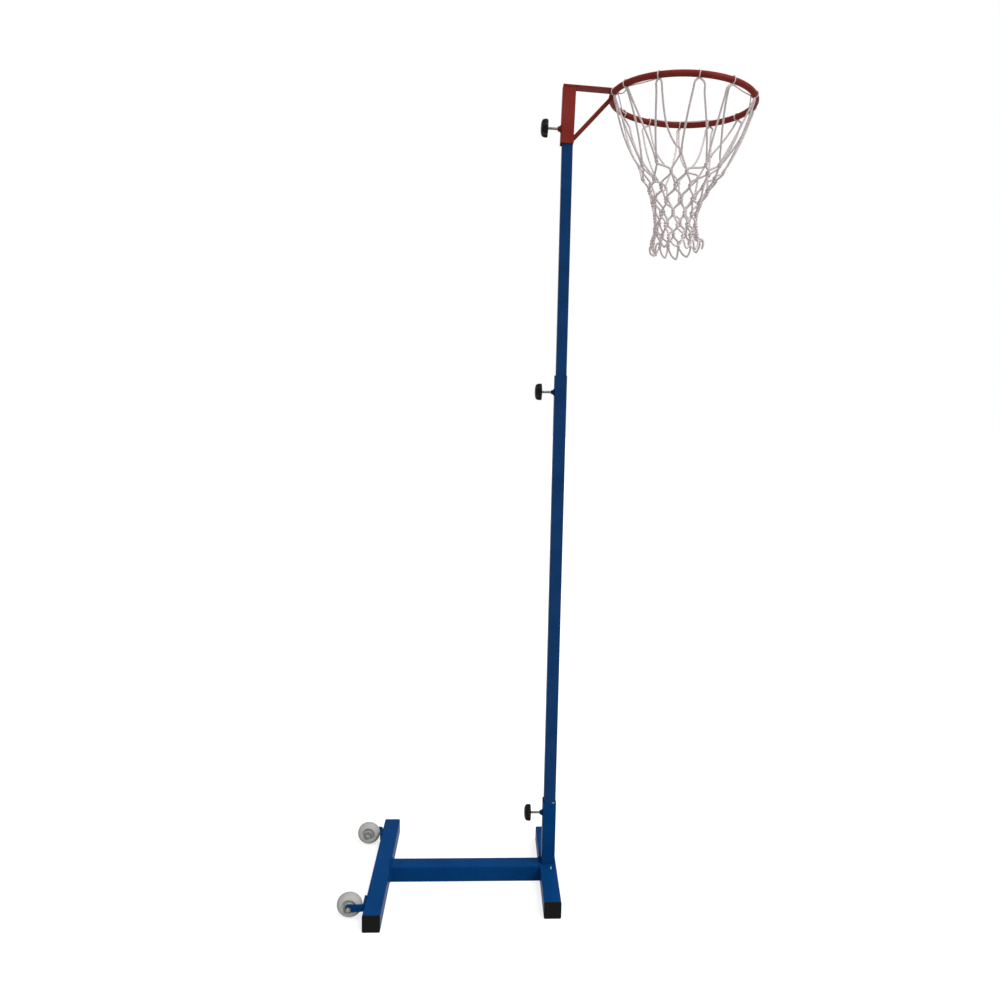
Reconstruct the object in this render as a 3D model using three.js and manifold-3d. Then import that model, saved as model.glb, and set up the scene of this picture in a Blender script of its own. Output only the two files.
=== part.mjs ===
// Netball post: a telescopic square-tube post on a wheeled H-shaped steel base, with a ring and net.
// Millimetres, +Z up. The origin is on the floor under the socket; +X points from the post to the ring.

import * as THREE from 'three';
import { mergeVertices } from 'three/addons/utils/BufferGeometryUtils.js';
import Module from 'manifold-3d';

const wasm = await Module();
wasm.setup();

// Clearances shared by all pieces
const seatGap = 0.3;
const slideGap = 0.3;
const runGap = 0.3;
const cutOverrun = 5;
const fuseDepth = 0.5;

// Base: two cross feet of square tube, joined by a spine of the same tube
const footSide = 50;
const footWall = 2;
const footCorner = 4;
const rearFootLength = 525;
const frontFootLength = 420;
const footSpacing = 505;
const capFlange = 4;
const capPlugDepth = 18;
const capPlugWall = 3;

// Socket tube that stands on the front foot
const socketSide = 40;
const socketWall = 1.5;
const socketHeight = 200;
const mastCorner = 2.5;

// Two telescopic mast tubes
const lowerSide = 35;
const lowerWall = 1.2;
const lowerLength = 1486;
const upperSide = 30;
const upperWall = 1.5;
const upperHidden = 890;
const upperExposed = 638;
const upperInSleeve = 139;
const plugInsert = 20;
const plugWall = 2.5;
const footPlugHead = 4;
const topPlugSide = 24;
const topPlugCorner = 5;

// Ring head: a sleeve over the mast top, a flat bar on it, a brace and the ring
const sleeveSide = 36;
const sleeveWall = 1;
const sleeveLength = 150;
const barThickness = 5;
const barReach = 104;
const barDroopDegrees = 1;
const braceDiameter = 12;
const braceRise = 17;
const braceBelowRingAxis = 6;
const ringInside = 380;
const ringRod = 17;
const ringLeftReach = 103;

// Clamp screws: a welded nut, a screw and a lobed knob at each sliding joint
const screwDiameter = 8;
const nutDiameter = 15;
const nutHeight = 9.5;
const nutChamfer = 1.5;
const weldFlare = 3.5;
const knobStandOff = 26;
const knobDiameter = 51;
const knobThickness = 20.5;
const knobLobes = 8;
const knobLobeDepth = 3;
const knobHub = 20;
const knobBoreDepth = 12;
const knobRim = 5;
const knobCrown = 1;
const socketClampDrop = 40;
const mastClampDrop = 48;
const headClampRise = 41;

// Transport wheels behind the rear foot, each held on one side by a bent flat bar
const wheelDiameter = 72;
const wheelWidth = 30;
const wheelShoulder = 9;
const wheelHub = 26;
const wheelDishDepth = 3;
const wheelRimWidth = 7;
const wheelLift = 4;
const wheelInset = 69.5;
const axleSetback = 44;
const bracketHeight = 20;
const bracketThickness = 5;
const bracketLeg = 48;
const axleDiameter = 8;
const bushDiameter = 12;
const washerDiameter = 17;
const washerThickness = 1.6;
const headAcross = 13;
const headHeight = 5.5;
const nutAcross = 13;
const lockNutHeight = 6.5;
const threadProud = 2;

// Net: cords looped over the ring at places set by hand, knotted in rows of diamonds
const cordDiameter = 5;
const knotWidth = 6;
const knotHeight = 8;
const knotBulgeShare = 1.6;
const longCordBow = 11;
const netLength = 425;
const netLoopDegrees = [-1, 25, 53, 79, 107, 137, 189, 208, 239, 269, 297, 331];
const netDepthShares = [0.376, 0.47, 0.546, 0.62, 0.7, 0.776, 0.86, 0.93, 1];
const netRadiusShares = [0.67, 0.53, 0.42, 0.363, 0.35, 0.342, 0.347, 0.374, 0.405];
const netPanels = 6;

// Segment counts of the round pieces
const cornerSegments = 3;
const roundSegments = 24;
const smallRoundSegments = 16;
const wheelSegments = 24;
const lobeSegments = 4;
const ringSegments = 64;
const ringRodSegments = 12;
const cordSteps = 5;
const lashingSegments = 10;
const mergeDistance = 1e-4;
const hexagon = 6;

// Finishes
const paint = (color) => new THREE.MeshStandardMaterial({ color, roughness: 0.4, metalness: 0.1 });
const plastic = (color) => new THREE.MeshStandardMaterial({ color, roughness: 0.55, metalness: 0 });
const zinc = () => new THREE.MeshStandardMaterial({ color: '#9a9a96', roughness: 0.35, metalness: 0.9 });
const blue = '#14397a';
const red = '#7e2a26';
const black = '#1b1b1a';
const nylonWhite = '#c9c9c2';
const cordWhite = '#cfc8c8';

// A closed three.js geometry as a solid for cutting and joining
function solid(geometry) {
  const bare = geometry.clone();
  bare.deleteAttribute('normal');
  bare.deleteAttribute('uv');
  const merged = mergeVertices(bare);
  return new wasm.Manifold(new wasm.Mesh({
    numProp: 3,
    vertProperties: new Float32Array(merged.attributes.position.array),
    triVerts: new Uint32Array(merged.index.array),
  }));
}

// A solid back to a three.js geometry
function surface(body) {
  const mesh = body.getMesh();
  const geometry = new THREE.BufferGeometry();
  const stride = mesh.numProp;
  const places = [];
  for (let i = 0; i < mesh.vertProperties.length; i += stride) {
    places.push(mesh.vertProperties[i], mesh.vertProperties[i + 1], mesh.vertProperties[i + 2]);
  }
  geometry.setAttribute('position', new THREE.Float32BufferAttribute(places, 3));
  geometry.setIndex(Array.from(mesh.triVerts));
  geometry.computeVertexNormals();
  return geometry;
}

function joined(...geometries) {
  let body = solid(geometries[0]);
  for (const geometry of geometries.slice(1)) {
    body = body.add(solid(geometry));
  }
  return surface(body);
}

function cut(geometry, ...tools) {
  let body = solid(geometry);
  for (const tool of tools) {
    body = body.subtract(solid(tool));
  }
  return surface(body);
}

// Square outline with round corners, centred on zero
function squareOutline(side, corner, target = new THREE.Shape()) {
  const h = side / 2;
  const r = Math.max(Math.min(corner, h), seatGap);
  target.moveTo(h - r, -h);
  target.absarc(h - r, r - h, r, -Math.PI / 2, 0);
  target.absarc(h - r, h - r, r, 0, Math.PI / 2);
  target.absarc(r - h, h - r, r, Math.PI / 2, Math.PI);
  target.absarc(r - h, r - h, r, Math.PI, Math.PI * 1.5);
  target.closePath();
  return target;
}

// Outline pushed up along +Z
function risen(outline, depth, segments = cornerSegments) {
  return new THREE.ExtrudeGeometry(outline, { depth, bevelEnabled: false, curveSegments: segments });
}

function squareBar(side, corner, length) {
  return risen(squareOutline(side, corner), length);
}

function squareTube(side, wall, corner, length) {
  const outline = squareOutline(side, corner);
  outline.holes.push(squareOutline(side - 2 * wall, corner - wall, new THREE.Path()));
  return risen(outline, length);
}

// Cylinder along +Z, standing on zero
function rod(diameter, length, segments = smallRoundSegments) {
  const geometry = new THREE.CylinderGeometry(diameter / 2, diameter / 2, length, segments);
  return geometry.rotateX(Math.PI / 2).translate(0, 0, length / 2);
}

// Body turned about +Z from an outline of radius and height pairs
function turned(profile, segments) {
  const points = profile.map(([radius, height]) => new THREE.Vector2(radius, height));
  return new THREE.LatheGeometry(points, segments).rotateX(Math.PI / 2);
}

// Hexagon along +Z, standing on zero, given its width across flats
function hexBar(across, length) {
  return rod(across / Math.cos(Math.PI / hexagon), length, hexagon);
}

function piece(name, geometry, material, parent) {
  const mesh = new THREE.Mesh(geometry, material);
  mesh.name = name;
  parent.add(mesh);
  return mesh;
}

function group(parent, x, y, z) {
  const child = new THREE.Group();
  child.position.set(x, y, z);
  parent.add(child);
  return child;
}

const post = new THREE.Group();

// Places that the pieces share
const footTop = footSide;
const socketTop = footTop + socketHeight;
const lowerX = (socketSide - 2 * socketWall - lowerSide) / 2 - slideGap;
const lowerFoot = footTop + seatGap;
const lowerTop = lowerFoot + lowerLength;
const upperX = lowerX + (lowerSide - 2 * lowerWall - upperSide) / 2 - slideGap;
const upperFoot = lowerTop - upperHidden;
const sleeveFoot = lowerTop + upperExposed;
const upperTop = sleeveFoot + upperInSleeve;
const sleeveInside = sleeveSide - 2 * sleeveWall;
const headX = upperX + upperSide / 2 + slideGap - sleeveInside / 2;
const headLean = Math.atan2(sleeveInside - upperSide - 2 * slideGap, upperInSleeve);

// Cross feet and spine. The tubes lie flat and touch face to face where they are welded.
function lyingTube(length) {
  const geometry = squareTube(footSide, footWall, footCorner, length);
  return geometry.translate(0, 0, -length / 2).rotateX(Math.PI / 2).translate(0, 0, footSide / 2);
}

// Flanged plastic plug that closes an open tube end; its flange faces +Z
function tubePlug(side, wall, corner, flange, flangeSide, flangeCorner, depth, plugWallSize) {
  const plugSide = side - 2 * wall - 2 * seatGap;
  const plug = squareTube(plugSide, plugWallSize, corner - wall, depth + fuseDepth);
  const head = squareBar(flangeSide, flangeCorner, flange);
  return joined(plug.translate(0, 0, -depth), head);
}

function buildFoot(label, x, length) {
  const tubeLength = length - 2 * capFlange;
  const foot = group(post, x, 0, 0);
  piece(`${label}_foot_tube`, lyingTube(tubeLength), paint(blue), foot);
  for (const [end, sign] of [['near', -1], ['far', 1]]) {
    const plug = tubePlug(
      footSide, footWall, footCorner, capFlange, footSide, footCorner, capPlugDepth, capPlugWall,
    );
    const cap = piece(`${label}_foot_cap_${end}`, plug, plastic(black), foot);
    cap.position.set(0, sign * (tubeLength / 2), footSide / 2);
    cap.rotation.x = -sign * Math.PI / 2;
  }
}

buildFoot('rear', -footSpacing, rearFootLength);
buildFoot('front', 0, frontFootLength);

const spineLength = footSpacing - footSide;
const spine = piece('spine_tube', lyingTube(spineLength), paint(blue), post);
spine.position.x = -footSpacing / 2;
spine.rotation.z = Math.PI / 2;

// Hole through one tube wall for a clamp screw that comes from -X
function screwHole(tubeSide, height) {
  const hole = rod(screwDiameter + 2 * runGap, tubeSide / 2 + cutOverrun);
  return hole.rotateY(-Math.PI / 2).translate(0, 0, height);
}

// Welded nut with its fillet of weld, along +Z, standing on the tube
function clampNut() {
  const bore = screwDiameter / 2 + runGap;
  const outer = nutDiameter / 2;
  return turned([
    [bore, 0],
    [outer + weldFlare, 0],
    [outer, weldFlare],
    [outer, nutHeight - nutChamfer],
    [outer - nutChamfer, nutHeight],
    [bore, nutHeight],
    [bore, 0],
  ], roundSegments);
}

// Lobed knob, dished towards the screw, with a blind bore; the screw enters at zero along +Z
function clampKnob() {
  const outer = knobDiameter / 2;
  const bore = screwDiameter / 2 + runGap;
  const geometry = turned([
    [0, knobBoreDepth],
    [bore, knobBoreDepth],
    [bore, 0],
    [knobHub / 2, 0],
    [outer - knobRim / 2, 0],
    [outer, knobRim / 2],
    [outer, knobThickness - 2 * knobRim],
    [outer - knobRim / 2, knobThickness - knobRim],
    [outer - 2 * knobRim, knobThickness - knobCrown],
    [0, knobThickness],
  ], knobLobes * lobeSegments);
  const place = geometry.attributes.position;
  for (let i = 0; i < place.count; i += 1) {
    const x = place.getX(i);
    const y = place.getY(i);
    const reach = Math.hypot(x, y);
    if (reach > knobHub / 2 + seatGap) {
      const lobe = (1 - Math.cos(knobLobes * Math.atan2(y, x))) / 2;
      const scale = 1 - (knobLobeDepth * lobe) / outer;
      place.setXY(i, x * scale, y * scale);
    }
  }
  return geometry;
}

// One clamp on the -X face of a tube: tubeFace and innerFace are measured from the group's axis,
// and the knob rests turned on by a share of one lobe
function buildClamp(label, parent, height, tubeFace, innerFace, paintColour, lobeShare = 0) {
  const clamp = group(parent, 0, 0, height);
  clamp.rotation.y = -Math.PI / 2;
  const nut = piece(`${label}_clamp_nut`, clampNut(), paint(paintColour), clamp);
  nut.position.z = tubeFace;
  const knobFace = tubeFace + nutHeight + knobStandOff;
  const tip = innerFace + seatGap;
  const screwLength = knobFace + knobBoreDepth - seatGap - tip;
  const screw = piece(`${label}_clamp_screw`, rod(screwDiameter, screwLength), zinc(), clamp);
  screw.position.z = tip;
  const knob = piece(`${label}_clamp_knob`, clampKnob(), plastic(black), clamp);
  knob.position.z = knobFace;
  knob.rotation.z = (lobeShare * 2 * Math.PI) / knobLobes;
}

// Socket
const socketClampHeight = socketHeight - socketClampDrop;
const socket = group(post, 0, 0, footTop);
const socketTube = squareTube(socketSide, socketWall, mastCorner, socketHeight);
piece('mast_socket', cut(socketTube, screwHole(socketSide, socketClampHeight)), paint(blue), socket);
buildClamp('socket', socket, socketClampHeight, socketSide / 2, lowerSide / 2 - lowerX, blue);

// Lower mast: stands on the front foot inside the socket, pushed to +X by the clamp screw
const mastClampHeight = lowerLength - mastClampDrop;
const lowerMast = group(post, lowerX, 0, lowerFoot);
const lowerTube = squareTube(lowerSide, lowerWall, mastCorner, lowerLength);
piece('lower_mast_tube', cut(lowerTube, screwHole(lowerSide, mastClampHeight)), paint(blue), lowerMast);
const upperOffset = upperX - lowerX;
const halfLobe = 0.5;
buildClamp(
  'mast', lowerMast, mastClampHeight, lowerSide / 2, upperSide / 2 - upperOffset, blue, halfLobe,
);

// Upper mast: a plain tube with a plug at each end
const upperLength = upperTop - upperFoot;
const upperMast = group(post, upperX, 0, upperFoot);
const upperTube = squareTube(upperSide, upperWall, mastCorner, upperLength);
piece('upper_mast_tube', upperTube, paint(blue), upperMast);

const footPlug = piece('upper_mast_foot_plug', tubePlug(
  upperSide, upperWall, mastCorner, footPlugHead, upperSide, mastCorner, plugInsert, plugWall,
), plastic(black), upperMast);
footPlug.rotation.x = Math.PI;

// The top plug reaches up to the underside of the flat bar that closes the leaning sleeve
const plugReach = topPlugSide / 2 + upperX - headX;
const topPlugHead = sleeveLength * Math.cos(headLean) - plugReach * Math.sin(headLean)
  - upperInSleeve - seatGap;
const topPlug = piece('upper_mast_top_plug', tubePlug(
  upperSide, upperWall, mastCorner, topPlugHead, topPlugSide, topPlugCorner, plugInsert, plugWall,
), plastic(black), upperMast);
topPlug.position.z = upperLength;

// Ring head: the sleeve leans in its clearance until it bears on two edges of the mast
const head = group(post, headX, 0, sleeveFoot);
head.rotation.y = headLean;
const sleeveTube = squareTube(sleeveSide, sleeveWall, mastCorner, sleeveLength);
piece('head_sleeve', cut(sleeveTube, screwHole(sleeveSide, headClampRise)), paint(red), head);
const mastFaceAtClamp = upperSide / 2 - (upperX - headX) + headClampRise * Math.tan(headLean);
buildClamp('head', head, headClampRise, sleeveSide / 2, mastFaceAtClamp + seatGap, red);

// Flat bar across the sleeve's top; it droops a little from the sleeve's far edge
const bar = group(head, sleeveSide / 2, 0, sleeveLength + seatGap);
bar.rotation.y = THREE.MathUtils.degToRad(barDroopDegrees);
const barLength = sleeveSide + barReach;
const barSolid = new THREE.BoxGeometry(barLength, sleeveSide, barThickness);
barSolid.translate(barLength / 2 - sleeveSide, 0, barThickness / 2);
piece('ring_arm', barSolid, paint(red), bar);

// Ring: a round bar bent to a hoop, held under the end of the flat bar
const ringRadius = ringInside / 2 + ringRod / 2;
const ringCentre = new THREE.Vector3(ringLeftReach + ringRadius, 0, -ringRod / 2 - seatGap);
const ringHoop = new THREE.TorusGeometry(ringRadius, ringRod / 2, ringRodSegments, ringSegments);
const ring = piece('ring', ringHoop, paint(red), bar);
ring.position.copy(ringCentre);
head.updateWorldMatrix(true, true);

// Place on the ring's centre line, or out from it by a radius and a turn, in the frame of a group
function ringPlace(frame, degrees, radius = 0, turn = 0) {
  const angle = THREE.MathUtils.degToRad(degrees);
  const reach = ringRadius + radius * Math.cos(turn);
  const place = new THREE.Vector3(
    reach * Math.cos(angle), reach * Math.sin(angle), radius * Math.sin(turn),
  );
  return frame.worldToLocal(ring.localToWorld(place));
}

// Brace: a round bar from the sleeve's face, near its foot, to the underside of the ring
const halfTurn = 180;
const braceFoot = new THREE.Vector3(sleeveSide / 2, 0, braceRise);
const braceHead = ringPlace(head, halfTurn);
braceHead.z -= braceBelowRingAxis;
const braceRun = braceHead.clone().sub(braceFoot);
const braceAlong = braceRun.clone().normalize();
const braceStart = braceFoot.clone().addScaledVector(braceAlong, -braceDiameter);
const braceBar = rod(braceDiameter, braceRun.length() + braceDiameter);
braceBar.applyQuaternion(new THREE.Quaternion().setFromUnitVectors(
  new THREE.Vector3(0, 0, 1), braceAlong,
));
braceBar.translate(braceStart.x, braceStart.y, braceStart.z);
const sleeveSpace = squareBar(sleeveSide + 2 * seatGap, mastCorner, sleeveLength);
const ringSpace = new THREE.TorusGeometry(
  ringRadius, ringRod / 2 + seatGap, ringRodSegments, ringSegments,
);
ringSpace.applyMatrix4(head.matrixWorld.clone().invert().multiply(ring.matrixWorld));
const braceBody = solid(cut(braceBar, sleeveSpace, ringSpace));
const bracePieces = braceBody.decompose().sort((a, b) => b.volume() - a.volume());
piece('ring_brace', surface(bracePieces[0]), paint(red), head);

// Transport wheel: measured outwards along its axle from the wheel's middle plane
const axleHeight = wheelDiameter / 2 + wheelLift;
const axleX = -footSpacing - footSide / 2 - axleSetback;
const bushLength = wheelWidth + 2 * seatGap;
const armFace = bushLength / 2 + seatGap;
const innerEnd = armFace + washerThickness + seatGap;

function wheelSolid() {
  const outer = wheelDiameter / 2;
  const half = wheelWidth / 2;
  const bore = bushDiameter / 2 + runGap;
  const rimInner = outer - wheelShoulder - wheelRimWidth;
  const lower = [
    [bore, -half],
    [wheelHub / 2, -half],
    [wheelHub / 2 + wheelDishDepth, wheelDishDepth - half],
    [rimInner, wheelDishDepth - half],
    [rimInner + wheelDishDepth, -half],
  ];
  for (let i = 0; i <= cornerSegments; i += 1) {
    const turn = (i / cornerSegments) * Math.PI / 2;
    lower.push([
      outer - wheelShoulder + wheelShoulder * Math.sin(turn),
      wheelShoulder - half - wheelShoulder * Math.cos(turn),
    ]);
  }
  const upper = lower.map(([radius, height]) => [radius, -height]).reverse();
  return turned([...lower, ...upper, lower[0]], wheelSegments);
}

function boltSolid(length) {
  return joined(
    hexBar(headAcross, headHeight).translate(0, 0, -headHeight),
    rod(axleDiameter, length + fuseDepth).translate(0, 0, -fuseDepth),
  );
}

function drilledDisc(across, thickness, build = rod) {
  const hole = rod(axleDiameter + 2 * runGap, thickness + 2 * cutOverrun).translate(0, 0, -cutOverrun);
  return cut(build(across, thickness), hole);
}

function bracketSolid(sign) {
  const armOutline = new THREE.Shape();
  const radius = bracketHeight / 2;
  armOutline.moveTo(axleSetback, -radius);
  armOutline.lineTo(axleSetback, radius);
  armOutline.lineTo(0, radius);
  armOutline.absarc(0, 0, radius, Math.PI / 2, Math.PI * 1.5);
  armOutline.closePath();
  const hole = new THREE.Path();
  hole.absarc(0, 0, axleDiameter / 2 + runGap, 0, Math.PI * 2);
  armOutline.holes.push(hole);
  const arm = risen(armOutline, bracketThickness, smallRoundSegments).rotateX(Math.PI / 2);
  arm.translate(0, sign > 0 ? armFace + bracketThickness : -armFace, 0);
  const leg = new THREE.BoxGeometry(bracketThickness, bracketLeg, bracketHeight);
  const legMiddle = armFace + bracketThickness - bracketLeg / 2;
  leg.translate(axleSetback - bracketThickness / 2, sign * legMiddle, 0);
  return joined(arm, leg);
}

for (const [end, sign] of [['near', -1], ['far', 1]]) {
  const axle = group(post, axleX, sign * (rearFootLength / 2 - wheelInset), axleHeight);
  piece(`wheel_bracket_${end}`, bracketSolid(sign), paint(blue), axle);
  const line = group(axle, 0, 0, 0);
  line.rotation.x = -sign * Math.PI / 2;
  piece(`wheel_${end}`, wheelSolid(), plastic(nylonWhite), line);
  const bushHole = rod(axleDiameter + 2 * runGap, bushLength + 2 * cutOverrun);
  const bush = cut(rod(bushDiameter, bushLength), bushHole.translate(0, 0, -cutOverrun));
  piece(`axle_bush_${end}`, bush, zinc(), line).position.z = -bushLength / 2;
  const washer = drilledDisc(washerDiameter, washerThickness);
  piece(`axle_washer_${end}`, washer, zinc(), line).position.z = -armFace - washerThickness;
  const nutFace = armFace + bracketThickness + seatGap;
  const boltLength = innerEnd + nutFace + lockNutHeight + threadProud;
  piece(`axle_bolt_${end}`, boltSolid(boltLength), zinc(), line).position.z = -innerEnd;
  const nut = drilledDisc(nutAcross, lockNutHeight, hexBar);
  piece(`axle_nut_${end}`, nut, zinc(), line).position.z = nutFace;
}

// Net. Columns are counted in halves: whole numbers hang under the loops, halves between them.
const netLoops = netLoopDegrees.length;
const netStart = netLoopDegrees[0];
const fullTurn = 2 * halfTurn;
const netPitch = fullTurn / netLoops;
const netCentre = ringPlace(post, 0).add(ringPlace(post, halfTurn)).multiplyScalar(1 / 2);
const lashingChord = Math.cos(Math.PI / lashingSegments);
const lashingRadius = (ringRod / 2 + seatGap + cordDiameter / 2) / lashingChord;
const loopKnotDrop = (ringRod / 2 + seatGap) / lashingChord + knotHeight / 2;
const upwards = new THREE.Vector3(0, 0, 1);

function loopDegrees(column) {
  const turns = Math.floor(column / netLoops);
  return netLoopDegrees[column - turns * netLoops] + turns * fullTurn;
}

// Under the ring a column follows its loops, and two rows lower it has its even place
function columnDegrees(column, row) {
  const low = loopDegrees(Math.floor(column));
  const high = loopDegrees(Math.ceil(column));
  const loose = Math.max(0, 1 - row / 2);
  return loose * (low + high) / 2 + (1 - loose) * (netStart + netPitch * column);
}

// A knot's middle, with its directions along the ring and away from the net's axis
function knotAt(middle, degrees) {
  const angle = THREE.MathUtils.degToRad(degrees);
  return {
    middle,
    out: new THREE.Vector3(Math.cos(angle), Math.sin(angle), 0),
    along: new THREE.Vector3(-Math.sin(angle), Math.cos(angle), 0),
  };
}

function netKnot(column, row) {
  const knot = knotAt(netCentre.clone(), columnDegrees(column, row));
  knot.middle.addScaledVector(knot.out, netRadiusShares[row] * ringInside / 2);
  knot.middle.z -= netDepthShares[row] * netLength;
  return knot;
}

function loopKnot(column) {
  const knot = knotAt(ringPlace(post, loopDegrees(column)), loopDegrees(column));
  knot.middle.z -= loopKnotDrop;
  return knot;
}

// A corner of a knot: shares of its half width, half height and half cord along, up and out
function corner(knot, along, up, out) {
  return knot.middle.clone()
    .addScaledVector(knot.along, along * knotWidth / 2)
    .addScaledVector(upwards, up * knotHeight / 2)
    .addScaledVector(knot.out, out * cordDiameter / 2);
}

// The face of a knot towards a cord that leaves it to one side, up or down
function cordFace(knot, side, up) {
  return [
    corner(knot, side, 0, 1), corner(knot, side, 0, -1), corner(knot, 0, up, -1), corner(knot, 0, up, 1),
  ];
}

// The same face seen from the knot at the cord's other end, with its corners in matching order
const meetingFace = (knot, side, up) => cordFace(knot, side, up).reverse();

function middleOf(points) {
  const sum = new THREE.Vector3();
  for (const point of points) sum.add(point);
  return sum.divideScalar(points.length);
}

// A skin collects triangles, each turned to face away from a place inside the cord
class Skin {
  constructor() {
    this.places = [];
  }

  facet(a, b, c, inside) {
    const normal = b.clone().sub(a).cross(c.clone().sub(a));
    const order = normal.dot(a.clone().sub(inside)) > 0 ? [a, b, c] : [a, c, b];
    for (const point of order) this.places.push(point.x, point.y, point.z);
  }

  quad(a, b, c, d, inside) {
    this.facet(a, b, c, inside);
    this.facet(a, c, d, inside);
  }

  tube(sections) {
    for (let i = 0; i + 1 < sections.length; i += 1) {
      const from = sections[i];
      const to = sections[i + 1];
      const inside = middleOf([...from, ...to]);
      for (let k = 0; k < from.length; k += 1) {
        const next = (k + 1) % from.length;
        this.quad(from[k], from[next], to[next], to[k], inside);
      }
    }
  }

  geometry() {
    const raw = new THREE.BufferGeometry();
    raw.setAttribute('position', new THREE.Float32BufferAttribute(this.places, 3));
    const closed = mergeVertices(raw, mergeDistance);
    closed.computeVertexNormals();
    return closed;
  }
}

// Sections of a cord between two faces, part of the way along, bowed out by a length
function cordSections(from, to, bow, steps, startShare, endShare) {
  const start = middleOf(from);
  const end = middleOf(to);
  const outwards = middleOf([start, end]).sub(netCentre).setZ(0).normalize();
  const sections = [];
  for (let i = 0; i <= steps; i += 1) {
    const share = startShare + (endShare - startShare) * (i / steps);
    const lift = outwards.clone().multiplyScalar(4 * bow * share * (1 - share));
    sections.push(from.map((point, k) => point.clone().lerp(to[k], share).add(lift)));
  }
  return sections;
}

const columnsPerPanel = netLoops / netPanels;

function inPanel(column, panel) {
  const beyond = column - panel * columnsPerPanel - 1 / 4;
  return ((beyond % netLoops) + netLoops) % netLoops < columnsPerPanel;
}

// A cord between two knots. A cord that leaves the panel is cut square at its middle.
function addCord(skin, from, to, fromIn, toIn, bow, steps) {
  if (!fromIn && !toIn) return;
  const gapShare = seatGap / 2 / middleOf(from).distanceTo(middleOf(to));
  const startShare = fromIn ? 0 : 1 / 2 + gapShare;
  const endShare = toIn ? 1 : 1 / 2 - gapShare;
  const sections = cordSections(from, to, bow, steps, startShare, endShare);
  skin.tube(sections);
  if (!fromIn) skin.quad(...sections[0], middleOf(sections[1]));
  if (!toIn) skin.quad(...sections[steps], middleOf(sections[steps - 1]));
}

// The four directions round a cord's section or a knot's rim
const fourWays = [[1, 0], [0, 1], [-1, 0], [0, -1]];
const knotRim = (knot, out) => fourWays.map(([along, up]) => corner(knot, along, up, out));

// Bulging front and back of a knot
function addBulge(skin, knot, out) {
  const crown = corner(knot, 0, 0, out * knotBulgeShare);
  const rim = knotRim(knot, out);
  for (let k = 0; k < rim.length; k += 1) {
    skin.facet(rim[k], rim[(k + 1) % rim.length], crown, knot.middle);
  }
}

// The cord's turn round the ring: out of the back of its knot, over the ring and into the front
function addLashing(skin, knot) {
  const middle = knot.middle.clone().addScaledVector(upwards, loopKnotDrop);
  const lead = Math.asin(cordDiameter / 2 / lashingRadius);
  const sections = [];
  for (let i = 0; i <= lashingSegments; i += 1) {
    const turn = -Math.PI / 2 + lead + (2 * Math.PI - 2 * lead) * (i / lashingSegments);
    const away = knot.out.clone().multiplyScalar(Math.cos(turn));
    away.addScaledVector(upwards, Math.sin(turn));
    const place = middle.clone().addScaledVector(away, lashingRadius);
    sections.push(fourWays.map(([along, inwards]) => place.clone()
      .addScaledVector(knot.along, along * cordDiameter / 2)
      .addScaledVector(away, -inwards * cordDiameter / 2)));
  }
  sections[0] = knotRim(knot, 1);
  sections[lashingSegments] = knotRim(knot, -1);
  skin.tube(sections);
}

function closeFace(skin, knot, side, up) {
  skin.quad(...cordFace(knot, side, up), knot.middle);
}

for (let panel = 0; panel < netPanels; panel += 1) {
  const skin = new Skin();
  for (let loop = 0; loop < netLoops; loop += 1) {
    const hung = inPanel(loop, panel);
    const knot = loopKnot(loop);
    if (hung) addLashing(skin, knot);
    for (const side of [-1, 1]) {
      const column = loop + side / 2;
      const to = meetingFace(netKnot(column, 0), -side, 1);
      addCord(skin, cordFace(knot, side, -1), to, hung, inPanel(column, panel), longCordBow, cordSteps);
      if (hung) closeFace(skin, knot, side, 1);
    }
  }
  const lastRow = netDepthShares.length - 1;
  for (let row = 0; row <= lastRow; row += 1) {
    for (let loop = 0; loop < netLoops; loop += 1) {
      const column = loop + (row % 2 === 0 ? 1 / 2 : 0);
      const knot = netKnot(column, row);
      const knotIn = inPanel(column, panel);
      if (knotIn) {
        addBulge(skin, knot, 1);
        addBulge(skin, knot, -1);
      }
      for (const side of [-1, 1]) {
        const next = column + side / 2;
        if (row < lastRow) {
          const to = meetingFace(netKnot(next, row + 1), -side, 1);
          addCord(skin, cordFace(knot, side, -1), to, knotIn, inPanel(next, panel), 0, 1);
        } else if (knotIn) {
          closeFace(skin, knot, side, -1);
        }
      }
    }
  }
  piece(`net_panel_${panel + 1}`, skin.geometry(), plastic(cordWhite), post);
}

export default post;
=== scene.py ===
from math import atan2, ceil, cos, hypot, pi, radians, sin
import random

import bmesh
import bpy
from mathutils import Matrix, Vector


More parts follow.
